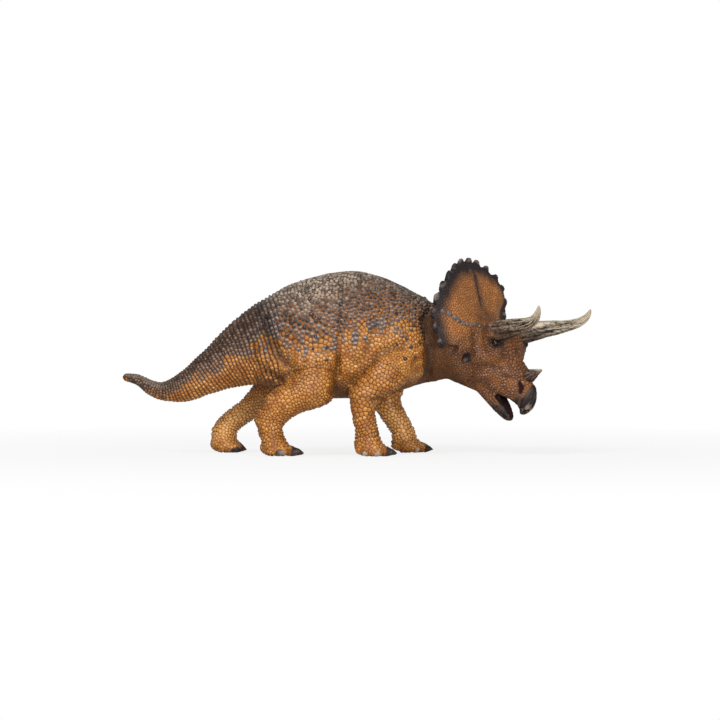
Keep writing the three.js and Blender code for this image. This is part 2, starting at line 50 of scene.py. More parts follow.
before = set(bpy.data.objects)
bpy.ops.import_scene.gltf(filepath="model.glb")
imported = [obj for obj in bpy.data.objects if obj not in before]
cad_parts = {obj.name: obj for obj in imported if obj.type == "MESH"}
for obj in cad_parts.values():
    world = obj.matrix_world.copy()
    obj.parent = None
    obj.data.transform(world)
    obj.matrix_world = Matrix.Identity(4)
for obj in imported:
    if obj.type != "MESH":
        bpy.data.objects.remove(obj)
cad_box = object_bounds()

MM = 1000.0
body_low, body_high = [np.array(corner) * MM for corner in cad_box]
body_size = body_high - body_low

# Driving sizes, in millimetres
seam_closing = 0.8  # how far the solids are grown and shrunk again to close their seams
body_step = 0.6  # between sample points of the body
head_step = 0.5
block_margin = 3.0  # around the solids, where there are sample points too
fine_blur = 0.75
broad_blur = 1.7
band = 5.0  # how far from the solids distances are known
overlap = 0.5  # how far two neighbouring skins run under each other
dive = 0.35  # how fast the lower one sinks below the upper one
buried_depth = 0.7  # deeper than this a skin can't be seen
seed = 7

back_pebble = 1.15  # across a scale
flank_pebble = 1.3
low_pebble = 1.1
shoulder_pebble = 0.95
hip_pebble = 1.65
head_pebble = 0.85
nose_pebble = 1.25
hind_row = 1.15  # from one ring of scales to the next
hind_scale = 1.3  # along a ring
fore_row = 1.35
fore_scale = 1.5
tail_tip_row = 0.95
tail_root_row = 1.5

# The head's own frame: forwards along the face, to the animal's left and up.
head_turn = 32.0  # degrees
head_tilt = 2.5
skull_shares = (0.6152, 0.394, 0.4197)  # of the head's box
right, left = -1.0, 1.0

leg_nodes = ["hind_leg_right", "hind_leg_left", "fore_leg_right", "fore_leg_left"]
body_nodes = ["trunk", "tail", *leg_nodes]
head_nodes = ["head", "lower_jaw"]


# Numbers

def smoothstep(low, high, value):
    share = np.clip((value - low) / (high - low), 0.0, 1.0)
    return share * share * (3.0 - 2.0 * share)


def smooth_min(a, b, blend):
    share = np.clip(0.5 + 0.5 * (b - a) / blend, 0.0, 1.0)
    return b + (a - b) * share - blend * share * (1.0 - share)


def smooth_max(a, b, blend):
    return -smooth_min(-a, -b, blend)


def cloud(points, size, salt):
    """Soft noise from -1 to 1 with clumps of the given size, or sizes along the three axes."""
    rng = np.random.default_rng(seed + salt)
    cells = 48
    grid = rng.uniform(-1.0, 1.0, (cells, cells, cells))
    place = points / np.asarray(size) + 0.5 * cells
    whole = np.floor(place).astype(int)
    part = place - whole
    part = part * part * (3.0 - 2.0 * part)
    total = np.zeros(len(points))
    for corner in range(8):
        step = np.array([corner & 1, corner >> 1 & 1, corner >> 2])
        weight = np.prod(np.where(step, part, 1.0 - part), axis=1)
        index = (whole + step) % cells
        total += weight * grid[index[:, 0], index[:, 1], index[:, 2]]
    return total


def turn_about(axis, degrees):
    return np.array(Matrix.Rotation(math.radians(degrees), 3, axis))


def box_of(node):
    return [np.array(corner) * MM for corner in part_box(node)]


def in_box(node, shares):
    """A place given as shares of a node's box."""
    low, high = box_of(node)
    return low + np.array(shares) * (high - low)


def on_side(shares):
    """Places on the side view, given as shares of the figure's length and height."""
    return np.array(shares) * body_size[[0, 2]] + body_low[[0, 2]]


skull_place = in_box("head", skull_shares)
head_axes = turn_about("Z", -head_turn) @ turn_about("X", -head_tilt)


def to_head(points):
    return (points - skull_place) @ head_axes


def from_head(points):
    return points @ head_axes.T + skull_place


def away_from_path(points, path):
    """For each point: the distance from a path, the distance along it, and the way out."""
    best = np.full(len(points), np.inf)
    along = np.zeros(len(points))
    out = np.zeros(points.shape)
    start = 0.0
    path = np.asarray(path, float)
    for a, b in zip(path[:-1], path[1:]):
        way = b - a
        length = np.linalg.norm(way)
        share = np.clip((points - a) @ way / length**2, 0.0, 1.0)
        offset = points - a - share[:, None] * way
        away = np.linalg.norm(offset, axis=1)
        nearer = away < best
        best[nearer] = away[nearer]
        along[nearer] = start + share[nearer] * length
        out[nearer] = offset[nearer]
        start += length
    return best, along, out


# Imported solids

def solid_of(node):
    """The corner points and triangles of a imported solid."""
    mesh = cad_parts[node].data
    mesh.calc_loop_triangles()
    points = np.empty(3 * len(mesh.vertices), np.float32)
    mesh.vertices.foreach_get("co", points)
    corners = np.empty(3 * len(mesh.loop_triangles), np.int32)
    mesh.loop_triangles.foreach_get("vertices", corners)
    return points.reshape(-1, 3) * MM, corners.reshape(-1, 3)


def slices(node, direction, places):
    """The middle of each cut that planes across a direction make through a solid."""
    points, corners = solid_of(node)
    height = points @ direction
    middles = []
    for place in places:
        above = height[corners] > place
        cut = corners[above.any(axis=1) & ~above.all(axis=1)]
        marks = []
        for a, b in ((0, 1), (1, 2), (2, 0)):
            first, second = cut[:, a], cut[:, b]
            crosses = (height[first] > place) != (height[second] > place)
            first, second = first[crosses], second[crosses]
            share = (place - height[first]) / (height[second] - height[first])
            marks.append(points[first] + share[:, None] * (points[second] - points[first]))
        marks = np.vstack(marks)
        middles.append(0.5 * (marks.min(axis=0) + marks.max(axis=0)))
    return np.array(middles)


trunk_middle = 0.5 * (in_box("trunk", (0.0, 0.0, 0.0)) + in_box("trunk", (1.0, 1.0, 1.0)))
hump_reach = 2.4  # how many half sizes from its middle a hump is worked out
ridge_reach = 2.6  # and a ridge, in widths
blend_reach = 3.0
fold_start = (3.0, 8.0)  # from the body's middle, where a fold fades in
fold_end = (22.5, 20.5)  # and where it has gone again, and is still whole


def hump(coordinates, centre, radii):
    """1 at a place, and soft down to 0 around it."""
    away = [((line - middle) / radius) ** 2 for line, middle, radius in zip(coordinates, centre, radii)]
    return np.exp(-(away[0] + away[1] + away[2]))


class Block:
    """A block of sample points that holds a shape as the distance from its surface."""

    def __init__(self, low, high, step, place=(0.0, 0.0, 0.0), axes=np.eye(3)):
        self.place = np.array(place)
        self.frame_axes = axes
        self.step = step
        self.first = np.floor(np.array(low) / step).astype(int)
        last = np.ceil(np.array(high) / step).astype(int)
        self.count = last - self.first + 1
        self.axes = [(self.first[a] + np.arange(self.count[a])) * step for a in range(3)]
        self.field = None
        self.regions = {}

    def distance_from(self, points, corners):
        grid = openvdb.FloatGrid.createLevelSetFromPolygons(
            points.astype(np.float32),
            triangles=corners.astype(np.uint32),
            transform=openvdb.createLinearTransform(voxelSize=self.step),
            halfWidth=band / self.step,
        )
        distance = np.empty(self.count, np.float32)
        grid.copyToArray(distance, ijk=tuple(int(i) for i in self.first))
        return distance

    def closed(self, values):
        """The distance from the outside of a shape whose narrow gaps are filled."""
        grid = openvdb.FloatGrid()
        grid.copyFromArray(np.ascontiguousarray(values - seam_closing, np.float32), tolerance=0)
        points, quads = grid.convertToQuads(isovalue=0)
        corners = np.vstack([quads[:, [0, 1, 2]], quads[:, [0, 2, 3]]])
        return self.distance_from((points + self.first) * self.step, corners) + seam_closing

    def blurred(self, values, radius):
        spread = radius / self.step
        reach = int(math.ceil(2.5 * spread))
        offsets = np.arange(-reach, reach + 1)
        weights = np.exp(-0.5 * (offsets / spread) ** 2)
        weights /= weights.sum()
        for axis in range(3):
            total = np.zeros_like(values)
            for offset, weight in zip(offsets, weights):
                total += np.float32(weight) * np.roll(values, int(offset), axis=axis)
            values = total
        return values

    def window(self, low, high):
        """The part of the block between two corners, and its coordinates."""
        spans = [np.searchsorted(axis, (a, b)) for axis, a, b in zip(self.axes, low, high)]
        cuts = tuple(slice(int(start), int(end)) for start, end in spans)
        return cuts, np.ix_(*[axis[cut] for axis, cut in zip(self.axes, cuts)])

    def swell(self, centre, radii, height):
        """Raise the surface around a place, or sink it where the height is negative."""
        centre, radii = np.array(centre, float), np.array(radii, float)
        cuts, place = self.window(centre - hump_reach * radii, centre + hump_reach * radii)
        self.field[cuts] -= height * hump(place, centre, radii).astype(np.float32)

    def tube_distance(self, path, radii, x, y, z):
        distance = None
        for a, b, r, s in zip(path[:-1], path[1:], radii[:-1], radii[1:]):
            way = b - a
            share = ((x - a[0]) * way[0] + (y - a[1]) * way[1] + (z - a[2]) * way[2]) / (way @ way)
            share = np.clip(share, 0.0, 1.0)
            away = np.sqrt(
                (x - a[0] - share * way[0]) ** 2
                + (y - a[1] - share * way[1]) ** 2
                + (z - a[2] - share * way[2]) ** 2
            )
            part = away - (r + (s - r) * share)
            distance = part if distance is None else np.minimum(distance, part)
        return distance

    def tube(self, path, radii, blend, cut=False):
        """Join a tube with the given radii to the shape, or cut it away."""
        path = np.array(path, float)
        reach = max(radii) + blend_reach * blend
        cuts, (x, y, z) = self.window(path.min(axis=0) - reach, path.max(axis=0) + reach)
        distance = self.tube_distance(path, radii, x, y, z)
        old = self.field[cuts]
        new = smooth_max(old, -distance, blend) if cut else smooth_min(old, distance, blend)
        self.field[cuts] = new

    def ridge(self, path, width, height):
        """Raise a soft ridge along a path, or sink a groove where the height is negative."""
        path = np.array(path, float)
        reach = ridge_reach * width
        cuts, (x, y, z) = self.window(path.min(axis=0) - reach, path.max(axis=0) + reach)
        away = self.tube_distance(path, [0.0] * len(path), x, y, z)
        self.field[cuts] -= (height * np.exp(-((away / width) ** 2))).astype(np.float32)

    def figure_window(self, low, high):
        """The part of the block near a box of the figure's frame, and its coordinates there."""
        corners = np.array([[(low, high)[i >> a & 1][a] for a in range(3)] for i in range(8)])
        corners = (corners - self.place) @ self.frame_axes
        cuts, own = self.window(corners.min(axis=0), corners.max(axis=0))
        rows = self.frame_axes
        return cuts, [
            rows[a, 0] * own[0] + rows[a, 1] * own[1] + rows[a, 2] * own[2] + self.place[a]
            for a in range(3)
        ]

    def side_ridge(self, path, side, width, height):
        """A ridge or groove that follows a path drawn on the side view, on one side of the body."""
        path = np.insert(np.array(path, float), 1, 0.0, axis=1)
        reach = ridge_reach * width
        low, high = path.min(axis=0) - reach, path.max(axis=0) + reach
        middle = trunk_middle[1]
        low[1], high[1] = (body_low[1] - band, middle) if side < 0 else (middle, body_high[1] + band)
        cuts, (x, y, z) = self.figure_window(low, high)
        away = self.tube_distance(path, [0.0] * len(path), x, 0.0 * x, z)
        out = side * (y - middle)
        fade = smoothstep(*fold_start, out) * smoothstep(*fold_end, out)
        self.field[cuts] -= (height * fade * np.exp(-((away / width) ** 2))).astype(np.float32)

    def side_swell(self, centre, radii, height):
        """Raise or sink the surface around a place of the figure's frame."""
        centre, radii = np.array(centre, float), np.array(radii, float)
        cuts, place = self.figure_window(centre - hump_reach * radii, centre + hump_reach * radii)
        self.field[cuts] -= (height * hump(place, centre, radii)).astype(np.float32)

    def depth_at(self, points):
        """The shape's distance at any points, between the sample points."""
        place = points / self.step - self.first
        whole = np.clip(np.floor(place).astype(int), 0, self.count - 2)
        part = place - whole
        total = np.zeros(len(points))
        for corner in range(8):
            step = np.array([corner & 1, corner >> 1 & 1, corner >> 2])
            weight = np.prod(np.where(step, part, 1.0 - part), axis=1)
            index = whole + step
            total += weight * self.field[index[:, 0], index[:, 1], index[:, 2]]
        return total

    def skin_of(self, node):
        """The shape's surface over one node's region, closed below, as points and quads."""
        region = self.regions[node]
        inside = np.argwhere((self.field < self.step) & (region < overlap + self.step))
        margin = 2
        low = np.maximum(inside.min(axis=0) - margin, 0)
        high = np.minimum(inside.max(axis=0) + margin + 1, self.count)
        cuts = tuple(slice(a, b) for a, b in zip(low, high))
        part = self.field[cuts] + dive * np.maximum(region[cuts], 0.0)
        part = np.maximum(part, region[cuts] - overlap)
        grid = openvdb.FloatGrid()
        grid.copyFromArray(np.ascontiguousarray(part, np.float32), tolerance=0)
        points, quads = grid.convertToQuads(isovalue=0)
        return (points + low + self.first) * self.step, quads


def add_regions(block, distances, own):
    """Keep half the difference between each node's distance and its nearest neighbour's."""
    for node in own:
        others = [value for name, value in distances.items() if name != node]
        nearest = np.minimum.reduce(others)
        block.regions[node] = block.blurred(0.5 * (distances[node] - nearest), fine_blur)


# The body's forms. Paths on the side view are shares of the figure's length and height.

dark_line_shares = [
    (0.001, 0.433), (0.017, 0.367), (0.08, 0.321), (0.143, 0.407), (0.206, 0.483),
    (0.269, 0.559), (0.331, 0.559), (0.373, 0.534), (0.415, 0.559), (0.457, 0.584),
    (0.499, 0.635), (0.541, 0.66), (0.583, 0.66), (0.624, 0.61), (0.645, 0.559),
]
# Each fold: its path in shares, its half width and its depth in millimetres.
fold_shares = {
    "shoulder_front": ([(0.646, 0.74), (0.63, 0.68), (0.636, 0.588), (0.645, 0.537), (0.647, 0.467),
                        (0.639, 0.402), (0.615, 0.339)], 1.5, 2.1),
    "arm_top": ([(0.588, 0.556), (0.565, 0.543), (0.541, 0.514), (0.511, 0.453),
                 (0.482, 0.372)], 1.7, 1.2),
    "arm_under": ([(0.499, 0.301), (0.532, 0.291), (0.566, 0.321), (0.599, 0.331)], 1.3, 0.9),
    "flank": ([(0.459, 0.87), (0.457, 0.8), (0.456, 0.726), (0.454, 0.61), (0.453, 0.504),
               (0.455, 0.412)], 1.0, 0.85),
    "rib": ([(0.528, 0.696), (0.524, 0.595), (0.511, 0.524), (0.495, 0.473)], 1.4, 0.9),
    "second_rib": ([(0.493, 0.66), (0.489, 0.56), (0.482, 0.46)], 1.4, 0.45),
    "third_rib": ([(0.566, 0.72), (0.562, 0.66), (0.556, 0.6)], 1.5, 0.4),
    "knee": ([(0.365, 0.425), (0.385, 0.446), (0.41, 0.456), (0.428, 0.45), (0.446, 0.42)], 0.6, 0.9),
    "upper_knee": ([(0.378, 0.475), (0.4, 0.488), (0.425, 0.482), (0.44, 0.462)], 0.5, 0.55),
    "lower_knee": ([(0.376, 0.4), (0.4, 0.424), (0.422, 0.42), (0.444, 0.386)], 0.5, 0.55),
    "thigh_front": ([(0.453, 0.503), (0.453, 0.463), (0.449, 0.402), (0.444, 0.321)], 1.2, 1.5),
    "hip_valley": ([(0.3, 0.7), (0.305, 0.63), (0.318, 0.56), (0.338, 0.49), (0.361, 0.435)], 1.8, 1.7),
    "hip_crease": ([(0.336, 0.635), (0.338, 0.559), (0.352, 0.493), (0.37, 0.443)], 1.2, 0.6),
    "tail_root": ([(0.279, 0.56), (0.284, 0.48), (0.305, 0.42), (0.34, 0.38)], 1.2, 1.1),
    "groin": ([(0.279, 0.352), (0.306, 0.362), (0.34, 0.402), (0.361, 0.423)], 1.2, 0.8),
}
# Dark washes of paint, partly painted shade, beside the folds: a path in shares, its half width and how dark
# it is.
wash_and_shade_shares = [
    ([(0.285, 0.77), (0.297, 0.68), (0.31, 0.6), (0.33, 0.52)], 2.6, 0.95),
    ([(0.46, 0.83), (0.458, 0.74), (0.456, 0.66)], 0.9, 0.8),
    ([(0.31, 0.42), (0.335, 0.41), (0.36, 0.43)], 2.0, 0.7),
]
# Each muscle: its place on the side view in shares, how far out it lies as a share of the trunk's
# half width, then its half sizes and height in millimetres.
muscle_shares = [
    ((0.607, 0.49), 1.0, (6.0, 9.0, 8.0), 1.0),
    ((0.662, 0.5), 0.72, (2.4, 5.0, 10.0), -1.3),
    ((0.62, 0.47), 0.95, (3.0, 7.0, 8.0), 0.7),
    ((0.385, 0.36), 1.0, (6.0, 8.0, 5.0), 0.7),
    ((0.54, 0.41), 1.0, (6.0, 9.0, 4.5), 0.6),
    ((0.40, 0.62), 1.0, (8.0, 9.0, 9.0), 0.6),
]

# The shoulder's edge in front of the neck, from its foot upwards.
neck_edge_shares = [
    (0.607, 0.339), (0.631, 0.402), (0.639, 0.467), (0.637, 0.537), (0.634, 0.588), (0.628, 0.65),
    (0.623, 0.684), (0.62, 0.767), (0.62, 0.85),
]

# Each leg's middle line from the body to the foot: along and up, as shares of the leg's box.
leg_path_shares = {
    "hind_leg_right": [(0.766, 0.97), (0.83, 0.714), (0.687, 0.607), (0.434, 0.518),
                       (0.259, 0.403), (0.203, 0.268), (0.25, 0.128), (0.453, 0.056)],
    "hind_leg_left": [(0.864, 0.988), (0.73, 0.815), (0.583, 0.605), (0.393, 0.41),
                      (0.262, 0.321), (0.168, 0.227), (0.147, 0.136), (0.302, 0.054)],
    "fore_leg_right": [(0.756, 0.969), (0.594, 0.804), (0.41, 0.663), (0.295, 0.548),
                       (0.244, 0.434), (0.272, 0.281), (0.323, 0.153), (0.548, 0.056)],
    "fore_leg_left": [(0.377, 0.97), (0.316, 0.809), (0.255, 0.647), (0.336, 0.458),
                      (0.441, 0.323), (0.534, 0.21), (0.579, 0.121), (0.741, 0.059)],
}
# The middle of each foot's pad, as shares of the leg's box. Then each toe, in millimetres from
# there: its root and its tip, each forwards and outwards, and the length of its claw.
foot_shares = {
    "hind_leg_right": (0.272, 0.508), "hind_leg_left": (0.163, 0.547),
    "fore_leg_right": (0.378, 0.504), "fore_leg_left": (0.591, 0.529),
}
toe_places = {
    "hind_leg_right": [(1.9, 0.4, 10.1, 0.7, 4.8), (-0.6, 3.6, 2.3, 6.2, 2.3), (1.5, -3.0, 5.0, -4.4, 2.4)],
    "hind_leg_left": [(1.9, 0.4, 7.8, 0.6, 4.0), (0.6, 3.2, 3.6, 4.8, 2.2), (0.8, -3.0, 4.2, -4.4, 2.2)],
    "fore_leg_right": [(1.9, 0.4, 9.7, 0.7, 4.3), (0.2, 2.6, 2.2, 4.9, 1.0), (-2.4, 2.8, -2.2, 5.2, 0.9),
                       (1.5, -3.0, 4.6, -4.2, 1.6)],
    "fore_leg_left": [(1.9, 0.4, 10.0, 0.6, 3.4), (1.2, 3.0, 4.4, 4.4, 1.8), (1.4, -2.8, 4.3, -4.6, 1.4)],
}
toe_radius = 1.85
least_toe = 0.62  # of a toe's radius, where it has no claw
toe_growth = 0.09  # for each millimetre of its claw
toe_end = 0.92
toe_height = 2.2
toe_tip_height = 0.45  # of its root's height
claw_root = 0.1
claw_growth = 0.34
# The forms of each foot, in millimetres from the ankle, the root of a toe or the middle between them.
instep_ends = ([0.8, 0.0, 3.0], [0.6, 0.0, 1.0])
instep_radii = (2.7, 2.2)
heel = ([-5.0, 0.0, -0.6], (1.6, 3.4, 2.0), 0.6)
tendon_start = [0.8, 0.0, 5.0]
tendon_width = 0.8
tendon_height = 0.6
toe_back = [-2.0, 0.0, 0.0]
claw_rise = [0.0, 0.0, 0.3]
claw_taper = (1.0, 0.8, 0.25)
cuff_radii = (0.6, 1.3, 1.3)
cuff_height = 0.3
toe_gap_ends = ([-0.5, 0.0, 2.0], [1.5, 0.0, -0.5])
toe_gap_width = 0.55
toe_gap_depth = 1.0
sole_height = 0.02
limb_blend = 0.8
toe_blend = 0.6
claw_blend = 0.25
tail_end = [0.9, 1.5, 1.6]  # the radii of the rounded end of the tail
tail_end_inside = 1.0  # the end of the tail's box
thin_tail = (-66.0, -50.0)  # behind the first the tail isn't smoothed broadly


def leg_side(node):
    return right if node.endswith("right") else left


def leg_path(node):
    """The middle line of a leg, in the upright plane through the middle of its foot."""
    across = foot_shares[node][1]
    return np.array([in_box(node, (along, across, up)) for along, up in leg_path_shares[node]])


def toes_of(node):
    """The root and tip of each toe, the length of its claw, and how thick it is beside the first."""
    pad = in_box(node, (*foot_shares[node], 0.0))
    side = leg_side(node)
    toes = []
    for root_along, root_out, tip_along, tip_out, claw in toe_places[node]:
        root = pad + [root_along, side * root_out, toe_height]
        tip = pad + [tip_along, side * tip_out, toe_tip_height * toe_height]
        toes.append((root, tip, claw, min(1.0, least_toe + toe_growth * claw)))
    return toes


def body_block():
    block = Block(body_low - block_margin, body_high + block_margin, body_step)
    distances = {node: block.distance_from(*solid_of(node)) for node in body_nodes + head_nodes}
    whole = block.closed(np.minimum.reduce(list(distances.values())))
    legs = np.minimum.reduce([distances[node] for node in leg_nodes])
    x, _, _ = np.ix_(*block.axes)
    broad = smoothstep(0.0, band, legs) * smoothstep(*thin_tail, x)
    fine = block.blurred(whole, fine_blur)
    wide = block.blurred(whole, broad_blur)
    block.field = fine + (wide - fine) * broad.astype(np.float32)
    add_regions(block, distances, body_nodes)
    return block


def sculpt_folds(block):
    """The folds and muscles of both sides, which run on from the body to the neck."""
    half_width = 0.5 * (box_of("trunk")[1][1] - box_of("trunk")[0][1])
    for side in (right, left):
        for path, width, depth in fold_shares.values():
            block.side_ridge(on_side(path), side, width, -depth)
        for place, outwards, radii, height in muscle_shares:
            along, up = on_side(place)
            across = trunk_middle[1] + side * outwards * half_width
            block.side_swell((along, across, up), radii, height)


def claw_path(root, tip, length):
    """A claw curves over and down to its tip."""
    way = (tip - root) / np.linalg.norm(tip - root)
    start = tip - length * way
    return np.array([start, start + 0.5 * length * way + claw_rise, tip])


def claw_thickness(length):
    return claw_root + claw_growth * length


def sculpt_feet(block):
    for node in leg_nodes:
        ankle = leg_path(node)[-2]
        toes = toes_of(node)
        block.tube([ankle + instep_ends[0], toes[0][0] + instep_ends[1]], instep_radii, limb_blend)
        place, radii, height = heel
        block.swell(ankle + place, radii, height)
        for root, tip, length, share in toes:
            size = toe_radius * share
            claw = claw_path(root, tip, length)
            block.tube([root + toe_back, root, claw[0]], [size, size, toe_end * size], toe_blend)
            block.tube(claw, [claw_thickness(length) * taper for taper in claw_taper], claw_blend)
            rise = [0.0, 0.0, 0.6 * size]
            block.ridge([ankle + tendon_start, root + rise, claw[0] + rise], tendon_width, tendon_height)
            cuff = claw[0] - 0.4 * (claw[1] - claw[0]) / np.linalg.norm(claw[1] - claw[0])
            block.swell(cuff + rise, cuff_radii, cuff_height)
        first = toes[0][0]
        for root, tip, _, _ in toes[1:]:
            start = 0.5 * (first + root) + toe_gap_ends[0]
            end = 0.5 * (tip + first) + toe_gap_ends[1]
            block.ridge([start, end], toe_gap_width, -toe_gap_depth)
    _, _, z = np.ix_(*block.axes)
    block.field = np.maximum(block.field, (sole_height - z).astype(np.float32))


def sculpt_body(block):
    sculpt_folds(block)
    sculpt_feet(block)
    path = tail_path()
    end = path[0] + (path[0] - path[1]) / np.linalg.norm(path[0] - path[1])
    end[0] = box_of("tail")[0][0] + tail_end_inside
    block.tube([end, path[0], path[2]], tail_end, limb_blend)


# The head's forms, in its own frame: forwards, to the left and up from the middle of the skull.

frill_radius = 26.6
frill_lean = 0.27
frill_sweep = 9.2
frill_middle = 6.0  # above the middle of the skull
frill_span = 100.0  # degrees from the crown to each lower tip
frill_points = 17
frill_rim = 2.3  # how wide its dark edge is
frill_thickness = 3.0
frill_floor = 0.9  # the height of its lower edge
frill_low_inside = 12.4  # where its lower edge begins, out from the head's middle
frill_low_front = -1.0
# How far parts of the frill are moved forward, in millimetres.
crown_move = -2.4
side_move = 1.5
low_move = 0.7
far_move = 1.4
far_low_move = -5.7
side_hollow = 1.9
side_flare = 0.6  # per millimetre beyond the start of the flare
flare_start = 21.5
scallop_width = 1.0  # half of it, at the root
scallop_radii = (1.35, 0.75)
scallop_root = 2.2
scallop_tip = 0.45
# How softly the forms of the head run into each other, in millimetres.
throat_blend = 1.4
frill_blend = 0.6
scallop_blend = 0.4
spike_blend = 0.6
nostril_blend = 0.2
mouth_blend = 0.35
beak_blend = 2.2
bridge_blend = 0.8
eye_place = np.array([8.9, 10.7, 2.1])
eye_radius = 1.35
cheek_spike = ([-2.6, 10.0, -3.0], [-2.4, 12.6, -4.1], [-1.6, 14.6, -5.0])
cheek_spike_radii = (1.8, 1.3, 0.35)
nostril = ([15.4, 3.5, -12.4], [16.0, 3.2, -14.0], [15.7, 3.3, -15.6])
nostril_radii = (0.45, 0.75, 0.45)
nostril_rim = (1.4, 0.5)  # its width and height
lip = ([(6.8, 6.4, -15.4), (9.6, 5.4, -17.0), (12.2, 4.6, -18.8)], 0.7, 0.6)
eye_socket = ((1.8, 1.5, 1.5), 1.5)  # its half sizes and depth
eye_socket_out = 1.4
# The folds round the eye: how far out, the radius, from one angle to another, width and height.
eyelids = [(1.0, 1.6, 10, 175, 0.5, 0.95), (0.7, 1.6, 185, 360, 0.4, 0.65), (0.1, 2.9, 190, 345, 0.4, 0.35)]
eyelid_points = 14
eyelid_flat = (1.0, 0.25, 1.0)
# The forms of the left side of the face: brow, cheekbone, the hollow below it, four swellings and
# dents from the cheek to the mouth, and the side of the nose. Each has its path or place, its
# width or half sizes, and its height.
face_forms = [
    ([(4.6, 11.6, 4.4), (8.4, 12.6, 4.9), (11.2, 11.2, 4.3)], 1.0, 0.9),
    ([(9.0, 9.4, -3.6), (4.0, 10.4, -3.8), (-0.5, 11.4, -3.4)], 1.6, 1.0),
    ([(8.0, 8.0, -7.4), (3.0, 9.4, -7.4), (-2.5, 9.8, -7.6)], 1.5, -1.5),
    ((-3.6, 9.4, -7.0), (2.6, 2.6, 2.4), -1.0),
    ((11.2, 5.2, -2.0), (1.8, 2.6, 3.4), -1.2),
    ((12.6, 5.2, -8.6), (2.4, 2.4, 2.6), 0.8),
    ((9.0, 7.0, -12.5), (2.4, 2.4, 3.0), -0.7),
    ([(13.2, 3.4, -4.4), (16.0, 3.4, -9.0)], 1.3, 0.6),
]
# The frill's own forms, up from its middle: a swelling on each side and a groove down the crown.
frill_swelling = ((-3.4, 11.0, 12.0), (1.5, 6.0, 8.0), 0.3)
frill_groove = ([(-8.2, 0.0, 24.0), (-6.2, 0.0, 17.0), (-3.6, 0.0, 10.0), (0.6, 0.0, 5.0)], 0.7, 0.5)
# The throat runs on from the neck to the jaw.
throat = [(-15.0, 0.0, -5.6), (-9.4, 0.0, -7.8), (-4.8, 0.0, -9.6), (-1.0, 0.0, -11.4)]
throat_radii = (5.4, 5.6, 5.4, 5.0)
beak_front = 21.4
beak_back = 11.0
beak_top = -10.8
beak_keel = 0.7  # half its width in front
beak_taper = 0.58
bridge_place = (19.9, -12.8)  # the flat front of the beak's ridge
bridge_way = (0.974, 0.225)
# Where the beak's horn begins, from the lip to the nose: forwards and up from the middle of the skull.
beak_edge = [(12.4, -18.6), (14.5, -17.8), (17.0, -17.2), (18.2, -15.6), (19.2, -13.0), (20.2, -10.6)]
mouth_corner = np.array([6.4, 0.0, -17.2])
# Tubes that are cut out of the mouth: a path and its radii.
mouth_cuts = [
    ([(7.8, 0.0, -16.4), (9.8, 0.0, -19.8), (11.4, 0.0, -23.5)], (2.4, 3.2, 2.0)),
    ([(6.4, 3.6, -17.4), (9.2, 3.5, -19.5), (11.6, 3.2, -22.0)], (1.0, 1.5, 1.6)),
    ([(6.4, -3.6, -17.4), (9.2, -3.5, -19.5), (11.6, -3.2, -22.0)], (1.0, 1.5, 1.6)),
    ([(3.6, 0.0, -13.4), (7.8, 0.0, -17.6)], (1.4, 2.6)),
    ([(12.4, 0.0, -19.2), (13.6, 0.0, -21.6)], (2.0, 1.4)),
]
# The brow horn of the left side, from inside the brow to the tip: a place and its radius.
brow_horn = [
    (6.0, 7.8, 5.4, 4.1), (8.2, 8.4, 6.1, 4.25), (12.2, 9.5, 6.9, 3.8), (16.2, 10.8, 7.7, 3.3),
    (20.0, 12.3, 8.3, 2.75), (23.2, 13.7, 8.9, 2.3), (26.0, 15.2, 9.6, 1.95), (28.4, 16.6, 10.6, 1.65),
    (30.0, 17.7, 11.9, 1.35), (31.0, 18.5, 13.3, 1.0), (31.5, 19.0, 14.7, 0.6), (31.6, 19.2, 15.4, 0.3),
]
nose_horn = [
    (15.6, 0.0, -10.4, 2.5), (17.4, 0.0, -9.6, 2.5), (18.9, 0.0, -8.9, 2.0), (20.3, 0.0, -8.3, 1.35),
    (21.5, 0.0, -7.8, 0.85), (22.5, 0.0, -7.4, 0.4),
]


def frill_shift(across, up):
    """How far forward the frill is moved: its middle goes back and its sides come forward."""
    far = smoothstep(4.0, 22.0, across)
    edge = side_move + low_move * smoothstep(12.0, 4.0, up)
    edge = edge + far_move * far + far_low_move * far * smoothstep(20.0, 9.0, up)
    hollow = side_hollow * smoothstep(9.0, 16.0, across) * smoothstep(24.5, 19.5, across)
    flare = side_flare * np.maximum(across - flare_start, 0.0)
    edge += (flare - hollow) * smoothstep(23.0, 13.0, up)
    across = np.abs(across)
    middle = crown_move * smoothstep(6.0, 17.0, up)
    share = smoothstep(11.0, 16.0, across)
    share = share + (smoothstep(3.0, 21.0, across) - share) * smoothstep(6.0, 14.0, up)
    return middle + (edge - middle) * share


def before_frill(a, b, h):
    """How far in front of the middle of the frill's sheet a place lies."""
    up = h - frill_middle
    return a - frill_shift(b, h) + frill_lean * up + frill_sweep * (b / frill_radius) ** 2


def mirrored(path, side):
    return np.array(path, float) * [1.0, side, 1.0]


def scallops():
    """Each bony point of the frill's edge: its place in the sheet and the way out from the middle."""
    made = []
    for index in range(frill_points):
        turn = math.radians(frill_span * (2.0 * index / (frill_points - 1) - 1.0))
        across, up = frill_radius * math.sin(turn), frill_radius * math.cos(turn)
        sweep = frill_sweep * math.sin(turn) ** 2
        lean = float(frill_shift(across, up + frill_middle)) - frill_lean * up - sweep
        place = np.array([lean, across, up + frill_middle])
        way = np.array([0.25, math.sin(turn), math.cos(turn)])
        made.append((place, way / np.linalg.norm(way)))
    return made


